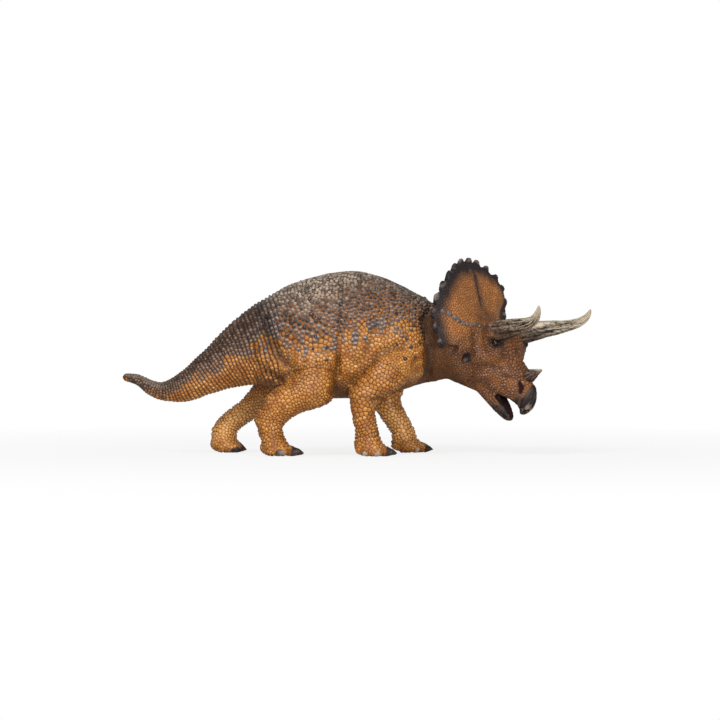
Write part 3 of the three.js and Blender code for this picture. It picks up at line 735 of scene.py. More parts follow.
def head_block():
    own = ["head", "lower_jaw", "trunk"]
    meshes = {node: solid_of(node) for node in own}
    head_points = to_head(np.vstack([meshes[node][0] for node in head_nodes]))
    low, high = head_points.min(axis=0) - block_margin, head_points.max(axis=0) + block_margin
    block = Block(low, high, head_step, skull_place, head_axes)
    distances = {
        node: block.distance_from(to_head(points), corners)
        for node, (points, corners) in meshes.items()
    }
    whole = block.closed(np.minimum.reduce(list(distances.values())))
    block.field = block.blurred(whole, fine_blur)
    bend_frill(block)
    add_regions(block, distances, head_nodes)
    return block


def bend_frill(block):
    """Flatten the frill, and cut it off level at its lower edge."""
    a, b, h = np.ix_(*block.axes)
    place = (a - frill_shift(b, h)) / block.step - block.first[0]
    place = np.clip(place, 0.0, block.count[0] - 1.001)
    whole = np.floor(place).astype(int)
    part = (place - whole).astype(np.float32)
    near = np.take_along_axis(block.field, whole, axis=0)
    far = np.take_along_axis(block.field, whole + 1, axis=0)
    block.field = near + (far - near) * part
    below = np.minimum(np.minimum(frill_floor - h, np.abs(b) - frill_low_inside), frill_low_front - a)
    below = np.minimum(below, before_frill(a, b, h) + frill_thickness)
    block.field = smooth_max(block.field, below.astype(np.float32), frill_blend)


def eyelid(centre, radius, start, end):
    """Points on an arc in the side view of the head, from one angle to another in degrees."""
    angles = np.radians(np.linspace(start, end, eyelid_points))
    ways = np.stack([np.cos(angles), np.zeros(eyelid_points), np.sin(angles)], axis=1)
    return np.array(centre) + radius * ways * eyelid_flat


def sculpt_frill(block):
    rise = np.array([0.0, 0.0, frill_middle])
    place, radii, height = frill_swelling
    for side in (right, left):
        block.swell(mirrored(place, side) + rise, radii, height)
    path, width, depth = frill_groove
    block.ridge(path + rise, width, -depth)
    for place, way in scallops():
        along = np.array([0.0, way[2], -way[1]])
        along /= np.linalg.norm(along)
        for shift in (-scallop_width, scallop_width):
            start = place - scallop_root * way + shift * along
            block.tube([start, place + scallop_tip * way + 0.5 * shift * along], scallop_radii, scallop_blend)


def sculpt_face(block, side):
    eye = mirrored(eye_place, side)
    radii, depth = eye_socket
    block.swell(eye + [0.0, side * eye_socket_out, 0.0], radii, -depth)
    for out, radius, start, end, width, height in eyelids:
        block.ridge(eyelid(eye + [0.0, side * out, 0.0], radius, start, end), width, height)
    for place, size, height in face_forms:
        lay = block.swell if np.ndim(place) == 1 else block.ridge
        lay(mirrored(place, side), size, height)
    block.tube(mirrored(cheek_spike, side), cheek_spike_radii, spike_blend)
    block.ridge(mirrored(nostril, side), *nostril_rim)
    block.tube(mirrored(nostril, side), nostril_radii, nostril_blend, cut=True)
    path, width, height = lip
    block.ridge(mirrored(path, side), width, height)


def sharpen_beak(block):
    """Pare both sides of the beak down to a keel in front."""
    a, b, h = np.ix_(*block.axes)
    half = beak_keel + beak_taper * np.maximum(beak_front - a, 0.0)
    beyond = (np.abs(b) - half) / math.hypot(1.0, beak_taper)
    cutter = np.minimum(np.minimum(beyond, beak_top - h), a - beak_back)
    block.field = smooth_max(block.field, cutter.astype(np.float32), beak_blend)
    bridge = (a - bridge_place[0]) * bridge_way[0] + (h - bridge_place[1]) * bridge_way[1]
    block.field = smooth_max(block.field, bridge.astype(np.float32), bridge_blend)


def sculpt_head(block):
    sculpt_folds(block)
    block.tube(throat, throat_radii, throat_blend)
    sculpt_frill(block)
    for side in (right, left):
        sculpt_face(block, side)
    sharpen_beak(block)
    for path, radii in mouth_cuts:
        block.tube(path, radii, mouth_blend, cut=True)


# Skins

def smoothed(points, quads, name):
    """The surface with each quad divided in four, smoothly."""
    mesh = bpy.data.meshes.new(name)
    mesh.from_pydata(points.tolist(), [], quads.tolist())
    rough = bpy.data.objects.new(name, mesh)
    bpy.context.scene.collection.objects.link(rough)
    modifier = rough.modifiers.new("round", "SUBSURF")
    modifier.levels = 1
    modifier.render_levels = 1
    graph = bpy.context.evaluated_depsgraph_get()
    fine = bpy.data.meshes.new_from_object(rough.evaluated_get(graph))
    bpy.data.objects.remove(rough)
    bpy.data.meshes.remove(mesh)
    places = np.empty(3 * len(fine.vertices), np.float32)
    fine.vertices.foreach_get("co", places)
    faces = np.empty(len(fine.loops), np.int32)
    fine.loops.foreach_get("vertex_index", faces)
    bpy.data.meshes.remove(fine)
    return places.reshape(-1, 3).astype(float), faces.reshape(-1, 4)


class Skin:
    """All skins together, so that scales run on from one to the next."""

    def __init__(self, surfaces):
        self.parts = {}
        start = 0
        points = []
        faces = []
        buried = []
        for node, (places, quads, depth) in surfaces.items():
            self.parts[node] = (start, start + len(places), quads)
            points.append(places)
            faces.append(quads + start)
            buried.append(depth < -buried_depth)
            start += len(places)
        self.points = np.vstack(points)
        self.faces = np.vstack(faces)
        self.buried = np.concatenate(buried)
        self.node = np.empty(start, int)
        for index, (first, last, _) in enumerate(self.parts.values()):
            self.node[first:last] = index
        self.paint = {}
        self.measure()

    def is_on(self, *nodes):
        wanted = [list(self.parts).index(node) for node in nodes]
        return np.isin(self.node, wanted)

    def measure(self):
        corners = self.points[self.faces]
        across = corners[:, 2] - corners[:, 0]
        along = corners[:, 3] - corners[:, 1]
        cross = np.cross(across, along)
        count = len(self.points)
        normal = np.zeros((count, 3))
        area = np.zeros(count)
        size = 0.5 * np.linalg.norm(cross, axis=1)
        for corner in range(4):
            index = self.faces[:, corner]
            area += np.bincount(index, 0.25 * size, count)
            for axis in range(3):
                normal[:, axis] += np.bincount(index, cross[:, axis], count)
        length = np.linalg.norm(normal, axis=1)
        self.normal = normal / np.maximum(length, 1e-9)[:, None]
        self.area = area

    def lift(self, height):
        seen = np.where(self.buried, 0.0, height)
        self.points = self.points + self.normal * seen[:, None]
        self.points[:, 2] = np.maximum(self.points[:, 2], 0.0)


ring_twist = 0.37  # how far each ring of scales is turned on from the last, in scales
ring_half = 0.2  # half the width of the strip that a ring's centres are picked from, in rings
fewest_round = 4
jitter = 0.22  # how far a scale's centre strays from its ring, in scales
ring_nearness = 0.6  # how near the centres of two scales in rings may lie, in scales
strewn_nearness = 0.9
strewn_gap = 0.93
strewn_ease = 0.9  # how far a scale's centre moves to the middle of its scale in each round
ring_ease = 0.6
wander_size = 6.0  # the size of the waves in the rings
tail_wander = 0.5
leg_wander = 1.3
tail_path_ends = (1.0, 9.0)  # inside the ends of the tail's box
tail_path_steps = 24
tail_path_on = [30.0, 0.0, 10.0]  # from its root on into the trunk


def tree_of(points):
    tree = kdtree.KDTree(len(points))
    for index, point in enumerate(points):
        tree.insert(point, index)
    tree.balance()
    return tree


def ring_centres(skin, chosen, spacing):
    """Scale centres in rings, each ring set part of a scale on from the last."""
    centres = []
    for row in range(int(skin.row[chosen].max()) + 1):
        near = chosen[np.abs(skin.row[chosen] - row - 0.5) < ring_half]
        if len(near) < fewest_round:
            continue
        order = near[np.argsort(skin.turn[near])]
        around = 2.0 * math.pi * skin.away[near].mean() / spacing[near].mean()
        count = max(fewest_round, int(round(around)))
        wanted = ((np.arange(count) + ring_twist * row % 1.0) / count * 2.0 - 1.0) * math.pi
        picks = order[np.minimum(np.searchsorted(skin.turn[order], wanted), len(order) - 1)]
        centres.append(np.unique(picks))
    return np.concatenate(centres)


def lay_rows(skin):
    """Count rings along the tail and each leg, and tell how far round each point lies."""
    points = skin.points
    count = len(points)
    skin.row, skin.turn, skin.away, skin.front = (np.zeros(count) for _ in range(4))
    wander = cloud(points, wander_size, 12)
    away, along, out = away_from_path(points, tail_path())
    along = np.maximum(along + tail_wander * wander, 0.0)
    full = np.ptp(points[skin.is_on("tail"), 0])
    growth = (tail_root_row - tail_tip_row) / full
    mine = skin.in_tail_rows
    skin.row[mine] = (np.log1p(growth * along / tail_tip_row) / growth)[mine]
    skin.tail_pitch = tail_tip_row + growth * along
    skin.turn[mine] = np.arctan2(out[:, 1], out[:, 2])[mine]
    skin.away[mine] = away[mine]
    for node in leg_nodes:
        away, along, out = away_from_path(points, leg_path(node))
        mine = skin.is_on(node)
        pitch = hind_row if node.startswith("hind") else fore_row
        flat = np.hypot(out[:, 0], out[:, 2]) * np.sign(out[:, 0])
        skin.row[mine] = (np.maximum(along + leg_wander * wander, 0.0) / pitch)[mine]
        skin.turn[mine] = np.arctan2(out[:, 1], flat)[mine]
        skin.away[mine] = away[mine]
        skin.front[mine] = (np.abs(flat) / np.maximum(np.hypot(out[:, 1], flat), 1e-6))[mine]


def keep_apart(places, spacing, taken=None):
    """Which places, in their order, lie no nearer than the spacing to one already kept."""
    tree = tree_of(places)
    kept = np.zeros(len(places), bool)
    if taken is not None:
        taken_tree = tree_of(taken)
    for index, (place, reach) in enumerate(zip(places, spacing)):
        if taken is not None and taken_tree.find(place)[2] < reach:
            continue
        if not any(kept[found[1]] for found in tree.find_range(place, reach)):
            kept[index] = True
    return kept


def nearest_of(tree, places):
    found = [tree.find(place) for place in places]
    return np.array([hit[1] for hit in found]), np.array([hit[2] for hit in found])


def scale_centres(skin, seen, spacing, rng):
    """Scale centres in rings on the tail and legs, and evenly strewn everywhere else."""
    points = skin.points
    groups = [skin.in_tail_rows] + [skin.is_on(node) for node in leg_nodes]
    picks = np.concatenate([ring_centres(skin, np.flatnonzero(seen & mine), spacing) for mine in groups])
    picks = picks[keep_apart(points[picks], ring_nearness * spacing[picks])]
    centres = points[picks] + rng.uniform(-jitter, jitter, (len(picks), 3)) * spacing[picks][:, None]
    free = np.flatnonzero(seen)
    free = rng.permutation(free)[: len(free) // 2]
    for _ in range(2):
        _, gap = nearest_of(tree_of(centres), points[free])
        free = free[gap > strewn_gap * spacing[free]]
        free = rng.permutation(free)
        fresh = points[free[keep_apart(points[free], strewn_nearness * spacing[free])]]
        centres = np.vstack([centres, fresh])
    return centres, len(picks)


def relaxed(skin, centres, ringed, seen, spacing, rounds):
    """Even the scale centres out, those in rings only a little."""
    chosen = np.flatnonzero(seen)[::3]
    places = skin.points[chosen]
    pull = skin.area[chosen] / spacing[chosen] ** 4
    ease = np.full(len(centres), strewn_ease)
    ease[:ringed] = ring_ease
    for _ in range(rounds):
        nearest, _ = nearest_of(tree_of(centres), places)
        mass = np.bincount(nearest, pull, len(centres))
        held = mass > 0
        for axis in range(3):
            total = np.bincount(nearest, pull * places[:, axis], len(centres))
            centres[held, axis] += ease[held] * (total[held] / mass[held] - centres[held, axis])
    return centres


def tail_path():
    low, high = box_of("tail")
    places = np.linspace(low[0] + tail_path_ends[0], high[0] - tail_path_ends[1], tail_path_steps)
    middles = slices("tail", np.array([1.0, 0.0, 0.0]), places)
    return np.vstack([middles, middles[-1] + tail_path_on])


# Where the skin changes, in millimetres along or up. Each pair fades in from the first to the second.
tail_rows_end = -29.5
nape_low = 51.0
nape_behind = 2.6  # behind the middle of the frill's sheet
low_skin = (34.0, 42.0)
hip_back = (-33.0, -28.0)
hip_front = (-16.0, -10.0)
hip_low = (38.0, 44.0)
shoulder_back = (8.0, 14.0)
back_skin = (46.0, 60.0)
foot_skin = (2.0, 8.0)
nose_skin = (6.5, 4.0)  # from the line of the nose, in the head's own frame
nose_line = [(11.5, 0.0, 1.0), (12.3, 0.0, -3.0), (14.8, 0.0, -5.7), (17.8, 0.0, -9.9)]
relax_rounds = 3


def scale_spacing(skin):
    """How far apart scale centres lie at every point."""
    x, _, z = skin.points.T
    spacing = np.full(len(x), flank_pebble)

    def ease(target, share):
        spacing[:] += (target - spacing) * share

    ease(low_pebble, 1.0 - smoothstep(*low_skin, z))
    hip = smoothstep(*hip_back, x) * (1.0 - smoothstep(*hip_front, x))
    ease(hip_pebble, hip * smoothstep(*hip_low, z))
    ease(shoulder_pebble, smoothstep(*shoulder_back, x) * (1.0 - smoothstep(*hip_low, z)))
    ease(back_pebble, smoothstep(*back_skin, z))
    on_head = skin.is_on(*head_nodes) & ~skin.nape
    away, _, _ = away_from_path(skin.head_place, nose_line)
    nose = head_pebble + (nose_pebble - head_pebble) * smoothstep(*nose_skin, away)
    spacing[on_head] = nose[on_head]
    for node in leg_nodes:
        mine = skin.is_on(node)
        size = hind_scale if node.startswith("hind") else fore_scale
        spacing[mine] = (1.0 + (size - 1.0) * smoothstep(*foot_skin, z))[mine]
    spacing[skin.in_tail_rows] = skin.tail_pitch[skin.in_tail_rows]
    return spacing


def scale_the_skin(skin):
    """Find the scale that each point lies in, and how far the point is from its edge."""
    rng = np.random.default_rng(seed)
    points = skin.points
    skin.head_place = to_head(points)
    behind = -before_frill(*skin.head_place.T)
    skin.nape = skin.is_on("head") & (behind > nape_behind) & (points[:, 2] > nape_low)
    skin.in_tail_rows = skin.is_on("tail") | (skin.is_on("trunk") & (points[:, 0] < tail_rows_end))
    seen = ~skin.buried
    lay_rows(skin)
    spacing = scale_spacing(skin)
    centres, ringed = scale_centres(skin, seen, spacing, rng)
    centres = relaxed(skin, centres, ringed, seen, spacing, relax_rounds)
    tree = tree_of(centres)
    near = np.array([[found[1] for found in tree.find_n(point, 3)] for point in points])
    first = centres[near[:, 0]]
    edge = np.full(len(points), np.inf)
    for other in (1, 2):
        second = centres[near[:, other]]
        gap = np.linalg.norm(second - first, axis=1)
        far = ((points - second) ** 2).sum(axis=1) - ((points - first) ** 2).sum(axis=1)
        edge = np.minimum(edge, far / (2.0 * np.maximum(gap, 1e-6)))
    skin.edge = edge
    half = 0.5 * spacing
    skin.round = smoothstep(1.25, 0.75, np.linalg.norm(points - first, axis=1) / half)
    skin.upper = (points[:, 2] - first[:, 2]) / spacing
    skin.spacing = spacing
    skin.luck = rng.uniform(0.0, 1.0, len(centres))[near[:, 0]]
    line = on_side(dark_line_shares)
    skin.height = points[:, 2] - np.interp(points[:, 0], line[:, 0], line[:, 1])


claw_skin = (0.75, 0.45)  # out from a claw's middle, beyond its thickness
claw_start = (-0.06, 0.06)  # shares of a claw's length
claw_end = (0.1, 0.9)
beak_line = (1.8, -1.4)  # above the line where the beak's horn begins
keratin_lean = -30.0  # degrees
worn_spots = (0.2, 0.6)
jaw_line = (-1.5, 1.5)
pale_claw = (3.0, 1.8)  # claws shorter than the first have pale tips, but for the far hind leg's
plain_clawed = "hind_leg_left"
worn_lip = (-18.5, -22.0)  # up and down on the beak, where its paint is worn
jaw_beak_place = (4.0, -20.6)  # where the horn of the lower jaw begins
jaw_beak_slope = 0.25


def horny_parts(skin):
    """Where the skin is smooth claw or beak."""
    paint = skin.paint
    horny = np.zeros(len(skin.points))
    paint["claw_tip"] = np.zeros(len(skin.points))
    for node in leg_nodes:
        mine = skin.is_on(node)
        for root, tip, length, _ in toes_of(node):
            claw = claw_path(root, tip, length)
            way = claw[-1] - claw[0]
            share = (skin.points - claw[0]) @ way / (way @ way)
            offset = skin.points - claw[0] - share[:, None] * way
            near = smoothstep(*claw_skin, np.linalg.norm(offset, axis=1) - claw_thickness(length)) * mine
            horny = np.maximum(horny, smoothstep(*claw_start, share) * near)
            if node != plain_clawed:
                pale = smoothstep(*claw_end, share) * near * smoothstep(*pale_claw, length)
                paint["claw_tip"] = np.maximum(paint["claw_tip"], pale)
    a, _, h = skin.head_place.T
    forwards, upwards = np.array(beak_edge).T
    above = h - np.interp(a, forwards, upwards) + 0.5 * cloud(skin.points, 1.6, 31)
    beak = smoothstep(*beak_line, above) * skin.is_on("head") * (a > beak_back)
    along_beak = skin.head_place @ turn_about("Y", keratin_lean).T
    paint["streak"] = 0.5 + 0.5 * cloud(along_beak, (0.55, 0.55, 5.0), 22)
    worn = smoothstep(*worn_lip, h) * smoothstep(*worn_spots, cloud(along_beak, (0.3, 0.3, 5.0), 23))
    paint["claw_tip"] = np.maximum(paint["claw_tip"], 0.8 * worn * skin.is_on("head"))
    below = jaw_beak_place[1] - h + jaw_beak_slope * (a - jaw_beak_place[0])
    paint["beak"] = np.maximum(beak, smoothstep(*jaw_line, below) * skin.is_on("lower_jaw"))
    return np.maximum(horny, paint["beak"])


def inside_tube(points, path, radii):
    """How far points lie outside a tube that narrows or widens from end to end."""
    away, along, _ = away_from_path(points, path)
    steps = np.linalg.norm(np.diff(np.array(path, float), axis=0), axis=1)
    return away - np.interp(along, np.concatenate([[0.0], np.cumsum(steps)]), radii)


mouth_paint = (0.5, 0.1)  # out from the hollows that are cut
nostril_paint = (0.45, 0.1)
throat_way = (0.83, 0.55)
throat_start = -0.3
throat_half_width = 3.2
throat_top = -13.0
throat_floor = -23.0
throat_front = 13.0


def dark_hollows(skin):
    """The inside of the mouth and the nostrils."""
    a, b, h = skin.head_place.T
    away = np.min([inside_tube(skin.head_place, path, radii) for path, radii in mouth_cuts], axis=0)
    mouth = smoothstep(*mouth_paint, away)
    forwards = (a - mouth_corner[0]) * throat_way[0] + (h - mouth_corner[2]) * throat_way[1]
    between = (forwards > throat_start) & (a < throat_front) & (np.abs(b) < throat_half_width)
    mouth = np.maximum(mouth, between & (h < throat_top) & (h > throat_floor))
    for side in (right, left):
        nose = inside_tube(skin.head_place, mirrored(nostril, side), nostril_radii)
        mouth = np.maximum(mouth, smoothstep(*nostril_paint, nose))
    return mouth * skin.is_on(*head_nodes)


# How far things are raised or sunk, in millimetres.
scale_height = 0.27
bead_height = 0.42
head_scale_height = 0.24
leg_scale_height = 0.21
tail_scale_height = 0.17
tail_groove = 0.58
leg_groove = 0.02
leg_front_groove = 0.2
ankle_groove = 0.14
wrinkle_depth = 0.3
eye_wrinkle = 0.12
lip_wrinkle = 0.2
neck_fibre = 0.14
beak_streak = 0.3
unevenness = 0.16
eye_wrinkle_pitch = 0.85
lip_wrinkle_pitch = 1.15
leg_wrinkle = 3.1  # rings of scales from one deep wrinkle of a leg to the next
# Where that happens. Each pair fades in from the first to the second.
scale_edge = 0.75  # share of the way to a scale's middle over which it rises
plate_edge = 0.4  # the same on the legs
bead_top = 0.4
bead_span = (-1.0, 4.0)  # above the line between the light side and the dark back
nape_edge = (52.5, 50.0)
ankle_top = (15.0, 9.0)
ankle_foot = (3.0, 6.0)
tail_grooves = (-28.5, -34.0)
groove_pitch = (0.8, 1.8)
lid_span = (4.8, 2.6)  # out from the eye
lid_start = (1.5, 2.0)
socket_span = (2.9, 1.5)
lip_span = (7.5, 3.5)  # out from the corner of the mouth
lip_back = (1.0, -2.0)
lip_slope = 0.4
cheek_out = 7.0  # from the head's middle
neck_back = (-6.0, -10.0)
neck_top = (14.0, 10.0)
behind_frill = (-1.0, -3.0)
neck_calm = 0.45  # how much lower everything is on the neck


def past_shoulder(points):
    """How far points lie in front of the shoulder's edge."""
    edge = on_side(neck_edge_shares)
    return points[:, 0] - np.interp(points[:, 2], edge[:, 1], edge[:, 0])


def scale_profile(skin, share, in_front):
    """How high each point lies on its scale, from 0 to 1, and how much that scale is a round bead."""
    edge = np.where(skin.is_on(*leg_nodes), plate_edge, scale_edge)
    rise = 1.0 - (1.0 - np.clip(share / edge, 0.0, 1.0)) ** 2
    bead = smoothstep(0.02 + 0.1 * skin.luck, bead_top, share) * skin.round
    upper = smoothstep(*bead_span, skin.height) * (skin.is_on("trunk") | skin.nape)
    beaded = upper * ~skin.in_tail_rows * (1.0 - in_front)
    return rise + (bead - rise) * beaded, beaded


def face_wrinkles(skin, soft):
    """Folds round the eyes and the corners of the mouth, with painted shade in their hollows."""
    a, b, h = skin.head_place.T
    face = skin.is_on(*head_nodes)
    from_eye = np.hypot(a - eye_place[0], h - eye_place[2])
    beside = np.abs(b) > cheek_out
    lids = np.cos(2.0 * math.pi * from_eye / eye_wrinkle_pitch) * smoothstep(*lid_span, from_eye) * beside
    from_corner = np.hypot(a - mouth_corner[0] - 1.0, h - mouth_corner[2])
    behind = smoothstep(*lip_back, a - mouth_corner[0] + lip_slope * (h - mouth_corner[2]))
    near = smoothstep(*lip_span, from_corner) * behind
    lips = np.cos(2.0 * math.pi * from_corner / lip_wrinkle_pitch) * near
    socket = smoothstep(*socket_span, from_eye) * beside * (a > 0.0)
    # Painted shade in the hollows of the lip wrinkles and round the eye.
    skin.paint["crease_shade"] = np.maximum(0.8 * np.clip(-lips, 0.0, 1.0), 0.85 * socket) * face
    height = eye_wrinkle * lids * smoothstep(*lid_start, from_eye) * skin.is_on("head")
    return height + lip_wrinkle * lips * face * soft


def bare_neck(skin, in_front):
    """Where the smooth, fibrous skin between the frill, the jaw and the shoulder lies."""
    a, b, h = skin.head_place.T
    behind = np.where(h > frill_floor, smoothstep(*behind_frill, before_frill(a, b, h)), 1.0)
    neck = smoothstep(*neck_back, a) * smoothstep(*neck_top, h) * behind
    return np.maximum(neck * (skin.is_on("head") & ~skin.nape), in_front)


def raise_scales(skin):
    """Raise the scales, rings and wrinkles."""
    x, _, z = skin.points.T
    a, b, h = skin.head_place.T
    legs, tail = skin.is_on(*leg_nodes), skin.in_tail_rows
    paint = skin.paint
    soft = 1.0 - np.maximum(paint["horny"], paint["mouth"])
    share = np.clip(skin.edge / (0.5 * skin.spacing), 0.0, 1.0)
    in_front = smoothstep(-0.5, 0.5, past_shoulder(skin.points)) * smoothstep(*nape_edge, z)
    in_front = in_front * skin.is_on("trunk")
    rise, beaded = scale_profile(skin, share, in_front)
    rise = 0.75 + (rise - 0.75) * soft
    paint["rise"] = rise - 0.35 * smoothstep(0.5, 0.1, share) * legs * soft
    # A painted highlight, partly dry-brush, on the upper side of each scale.
    lit = smoothstep(-0.05, 0.25, skin.upper) * smoothstep(0.15, 0.5, share)
    paint["lit"] = lit * (1.0 - 0.2 * legs) * soft
    ring = 0.5 + 0.5 * np.cos(2.0 * math.pi * skin.row)
    wrinkle = smoothstep(0.72, 1.0, np.cos(2.0 * math.pi * skin.row / leg_wrinkle)) * skin.front**2 * legs
    marks = smoothstep(0.55, 1.0, ring) * (tail + 0.3 * skin.front**2 * legs)
    paint["ring"] = np.maximum(marks, 0.8 * wrinkle) * soft

    tall = scale_height + (bead_height - scale_height) * beaded
    tall[skin.is_on(*head_nodes) & ~skin.nape] = head_scale_height
    tall[legs] = leg_scale_height
    tall[tail] = tail_scale_height
    lift = tall * (rise - 0.6)
    thick = smoothstep(*groove_pitch, skin.tail_pitch) * smoothstep(*tail_grooves, x)
    lift -= tail_groove * (ring**2 - 0.3) * tail * thick
    lift -= wrinkle_depth * wrinkle * soft
    ankle = smoothstep(*ankle_top, z) * smoothstep(*ankle_foot, z)
    groove = leg_groove + leg_front_groove * skin.front**3 + ankle_groove * ankle
    lift -= groove * ring**2 * legs * soft
    lift += face_wrinkles(skin, soft)
    skin.neck = bare_neck(skin, in_front)
    lift *= 1.0 - neck_calm * skin.neck
    fibre = cloud(np.stack([a, b * 0.3, h], axis=1) @ turn_about("Y", 25.0).T, (0.5, 4.0, 3.0), 21)
    lift += neck_fibre * fibre * skin.neck
    lift += beak_streak * (paint["streak"] - 0.5) * paint["beak"]
    lift += unevenness * cloud(skin.points, 3.2, 11) * soft
    skin.lift(lift)


# Where the paints lie, in millimetres. Each pair fades in from the first to the second.
tail_paint = (-32.0, -44.0)
pale_tip = (-66.0, -80.0)
dark_paint = (-0.5, 2.5)  # above the line between the light side and the dark back
dry_paint = (9.0, 24.0)
# Where the painted shade under the belly fades in.
belly_shade = (31.0, 25.0)
# Where the far legs are painted paler, as painted light.
far_leg_light_span = {"hind_leg_left": (24.0, 17.0), "fore_leg_left": (19.0, 12.0)}
far_leg_light_foot = (1.0, 8.0)
past_edge = (-0.8, 0.4)  # in front of the shoulder's edge, where its shade begins
past_shade = (4.5, 0.5)
neck_shade_foot = (24.0, 30.0)
upper_neck_low = (40.0, 48.0)
upper_neck_back = (-2.0, 1.0)
neck_shade_front = -9.0  # in the head's own frame
neck_shade_top = (53.5, 50.5)
wash_beside = (3.0, 8.0)
facing_sky = (0.1, 0.8)  # how far a surface faces up
facing_ground = (-0.1, -0.7)
# The same on the frill, out from its middle, from its crown or from its sheet, and on the spikes.
sheet_depth = 4.5
sheet_beyond = 9.0  # degrees past the frill's lower tips
sheet_start = (7.0, 12.0)
facing_front = (0.0, 0.4)
frill_low = (2.0, 8.0)
wide_rim = (30.0, 0.0)  # degrees from the crown
narrow_rim = (50.0, 80.0)
rim_edge = (-1.4, 0.8)
rim_burnt = (-4.5, 0.0)
crown_line = (1.3, 0.3)
crown_line_start = (1.0, 5.0)
crown_burnt = (4.0, 0.5)
spike_skin = (0.6, 0.25)
spike_out = 11.0
spike_highlight_span = (2.4, 0.8)
scallop_end = (-0.6, 0.5)


def fold_wash_and_shade(skin):
    """The dark wash of paint and the painted shade that lie in the folds of the body."""
    flat = skin.points * [1.0, 0.0, 1.0]
    wash = np.zeros(len(flat))

    def wash_along(path, width, strength):
        away, _, _ = away_from_path(flat, np.insert(on_side(path), 1, 0.0, axis=1))
        wash[:] = np.maximum(wash, strength * np.exp(-((away / width) ** 2)))

    for path, width, depth in fold_shares.values():
        wash_along(path, 0.9 * width, min(1.0, depth / 1.5))
    for path, width, strength in wash_and_shade_shares:
        wash_along(path, width, strength)
    beside = smoothstep(*wash_beside, np.abs(skin.points[:, 1] - trunk_middle[1]))
    return wash * beside * skin.is_on("trunk", "tail", *leg_nodes)


def paint_body(skin):
    """Where each paint of the body and the legs lies."""
    x, _, z = skin.points.T
    paint = skin.paint
    body = skin.is_on("trunk", "tail") | skin.nape
    facing_up = skin.normal[:, 2]
    tail = smoothstep(*tail_paint, x)
    height = skin.height + 3.0 * cloud(skin.points, 7.0, 3) + 1.5 * cloud(skin.points, 2.2, 4)
    chance = (skin.luck - 0.5) * (13.0 - 8.0 * tail)
    paint["luck"] = skin.luck
    paint["dark"] = smoothstep(*dark_paint, height + chance + 2.0 * tail) * body
    paint["dry"] = smoothstep(*dry_paint, height) * (1.0 - 0.8 * tail) * body
    paint["tail"] = tail * body
    # A painted highlight where the tip of the tail faces up.
    paint["pale_tip"] = smoothstep(*pale_tip, x) * smoothstep(*facing_sky, facing_up) * body
    # Painted shade on the surfaces of the trunk that face down, low on the belly.
    paint["underside_shade"] = smoothstep(*facing_ground, facing_up) * smoothstep(*belly_shade, z) * skin.is_on("trunk")
    past = past_shoulder(skin.points)
    near_edge = smoothstep(*past_edge, past) * smoothstep(*past_shade, past) * smoothstep(*neck_shade_foot, z)
    upper_neck = 0.6 * smoothstep(*upper_neck_low, z) * smoothstep(*upper_neck_back, past)
    shade = np.maximum(near_edge, upper_neck) * smoothstep(*neck_shade_top, z)
    paint["shade"] = shade * skin.is_on("trunk", "head") * (skin.head_place[:, 0] < neck_shade_front)
    paint["fold"] = fold_wash_and_shade(skin)
    # Painted light: the far legs are painted paler below their tops, for the light that falls on them.
    far_leg_light = [smoothstep(*span, z) * skin.is_on(node) for node, span in far_leg_light_span.items()]
    paint["far_leg_light"] = np.maximum.reduce(far_leg_light) * smoothstep(*far_leg_light_foot, z)


def paint_spikes(skin):
    """The bony spikes of the cheeks, and a painted highlight near their tips."""
    a, b, h = skin.head_place.T
    spikes = np.zeros(len(a))
    for side in (right, left):
        away = inside_tube(skin.head_place, mirrored(cheek_spike, side), cheek_spike_radii)
        spikes = np.maximum(spikes, smoothstep(*spike_skin, away) * (np.abs(b) > spike_out))
    from_tip = np.linalg.norm(np.stack([a, np.abs(b), h], axis=1) - cheek_spike[-1], axis=1)
    return spikes, spikes * smoothstep(*spike_highlight_span, from_tip)


def paint_head(skin):
    """Where each paint of the face, the neck and the frill lies."""
    a, b, h = skin.head_place.T
    paint = skin.paint
    paint["face"] = (skin.is_on(*head_nodes) & ~skin.nape) * 1.0
    paint["neck"] = skin.neck
    up = h - frill_middle
    reach = np.hypot(b, up)
    turn = np.degrees(np.arctan2(np.abs(b), up))
    sheet = (np.abs(before_frill(a, b, h)) < sheet_depth) & (turn < frill_span + sheet_beyond)
    sheet = sheet * smoothstep(*sheet_start, reach) * skin.is_on("head")
    front = smoothstep(*facing_front, skin.normal @ head_axes[:, 0])
    paint["frill"] = sheet * front * smoothstep(*frill_low, up + 0.35 * np.abs(b))
    ragged = 0.7 * cloud(skin.points, 2.0, 8) + 0.5 * (skin.luck - 0.5)
    wide = frill_rim + smoothstep(*wide_rim, turn) - 0.8 * smoothstep(*narrow_rim, turn) * (b < 0.0)
    past_rim = reach - frill_radius + wide + ragged
    rim = smoothstep(*rim_edge, past_rim)
    ridge = smoothstep(*crown_line, np.abs(b) + 0.4 * ragged) * smoothstep(*crown_line_start, up)
    burnt_edge = smoothstep(*rim_burnt, past_rim)
    middle = smoothstep(*crown_burnt, np.abs(b)) * smoothstep(*frill_low, up)
    paint["burnt"] = np.maximum(burnt_edge, 0.7 * middle) * np.maximum(paint["frill"], 0.6 * sheet)
    spikes, spike_highlights = paint_spikes(skin)
    paint["rim"] = np.maximum(sheet * np.maximum(rim, 0.8 * ridge * front), spikes)
    paint["rise"] = np.maximum(paint["rise"], spikes)
    # Pale tips of the frill's points, partly pale paint and partly painted highlight, and the painted
    # highlight of the spikes.
    tips = np.zeros(len(a))
    for place, way in scallops():
        beyond = (skin.head_place - place) @ way
        near = np.linalg.norm(skin.head_place - place, axis=1) < scallop_root
        tips = np.maximum(tips, smoothstep(*scallop_end, beyond) * near)
    paint["tips"] = np.maximum(tips * sheet, spike_highlights)


# Paint

gloss = 0.26
grain_depth = 0.0001  # in metres, as all lengths in the finishes
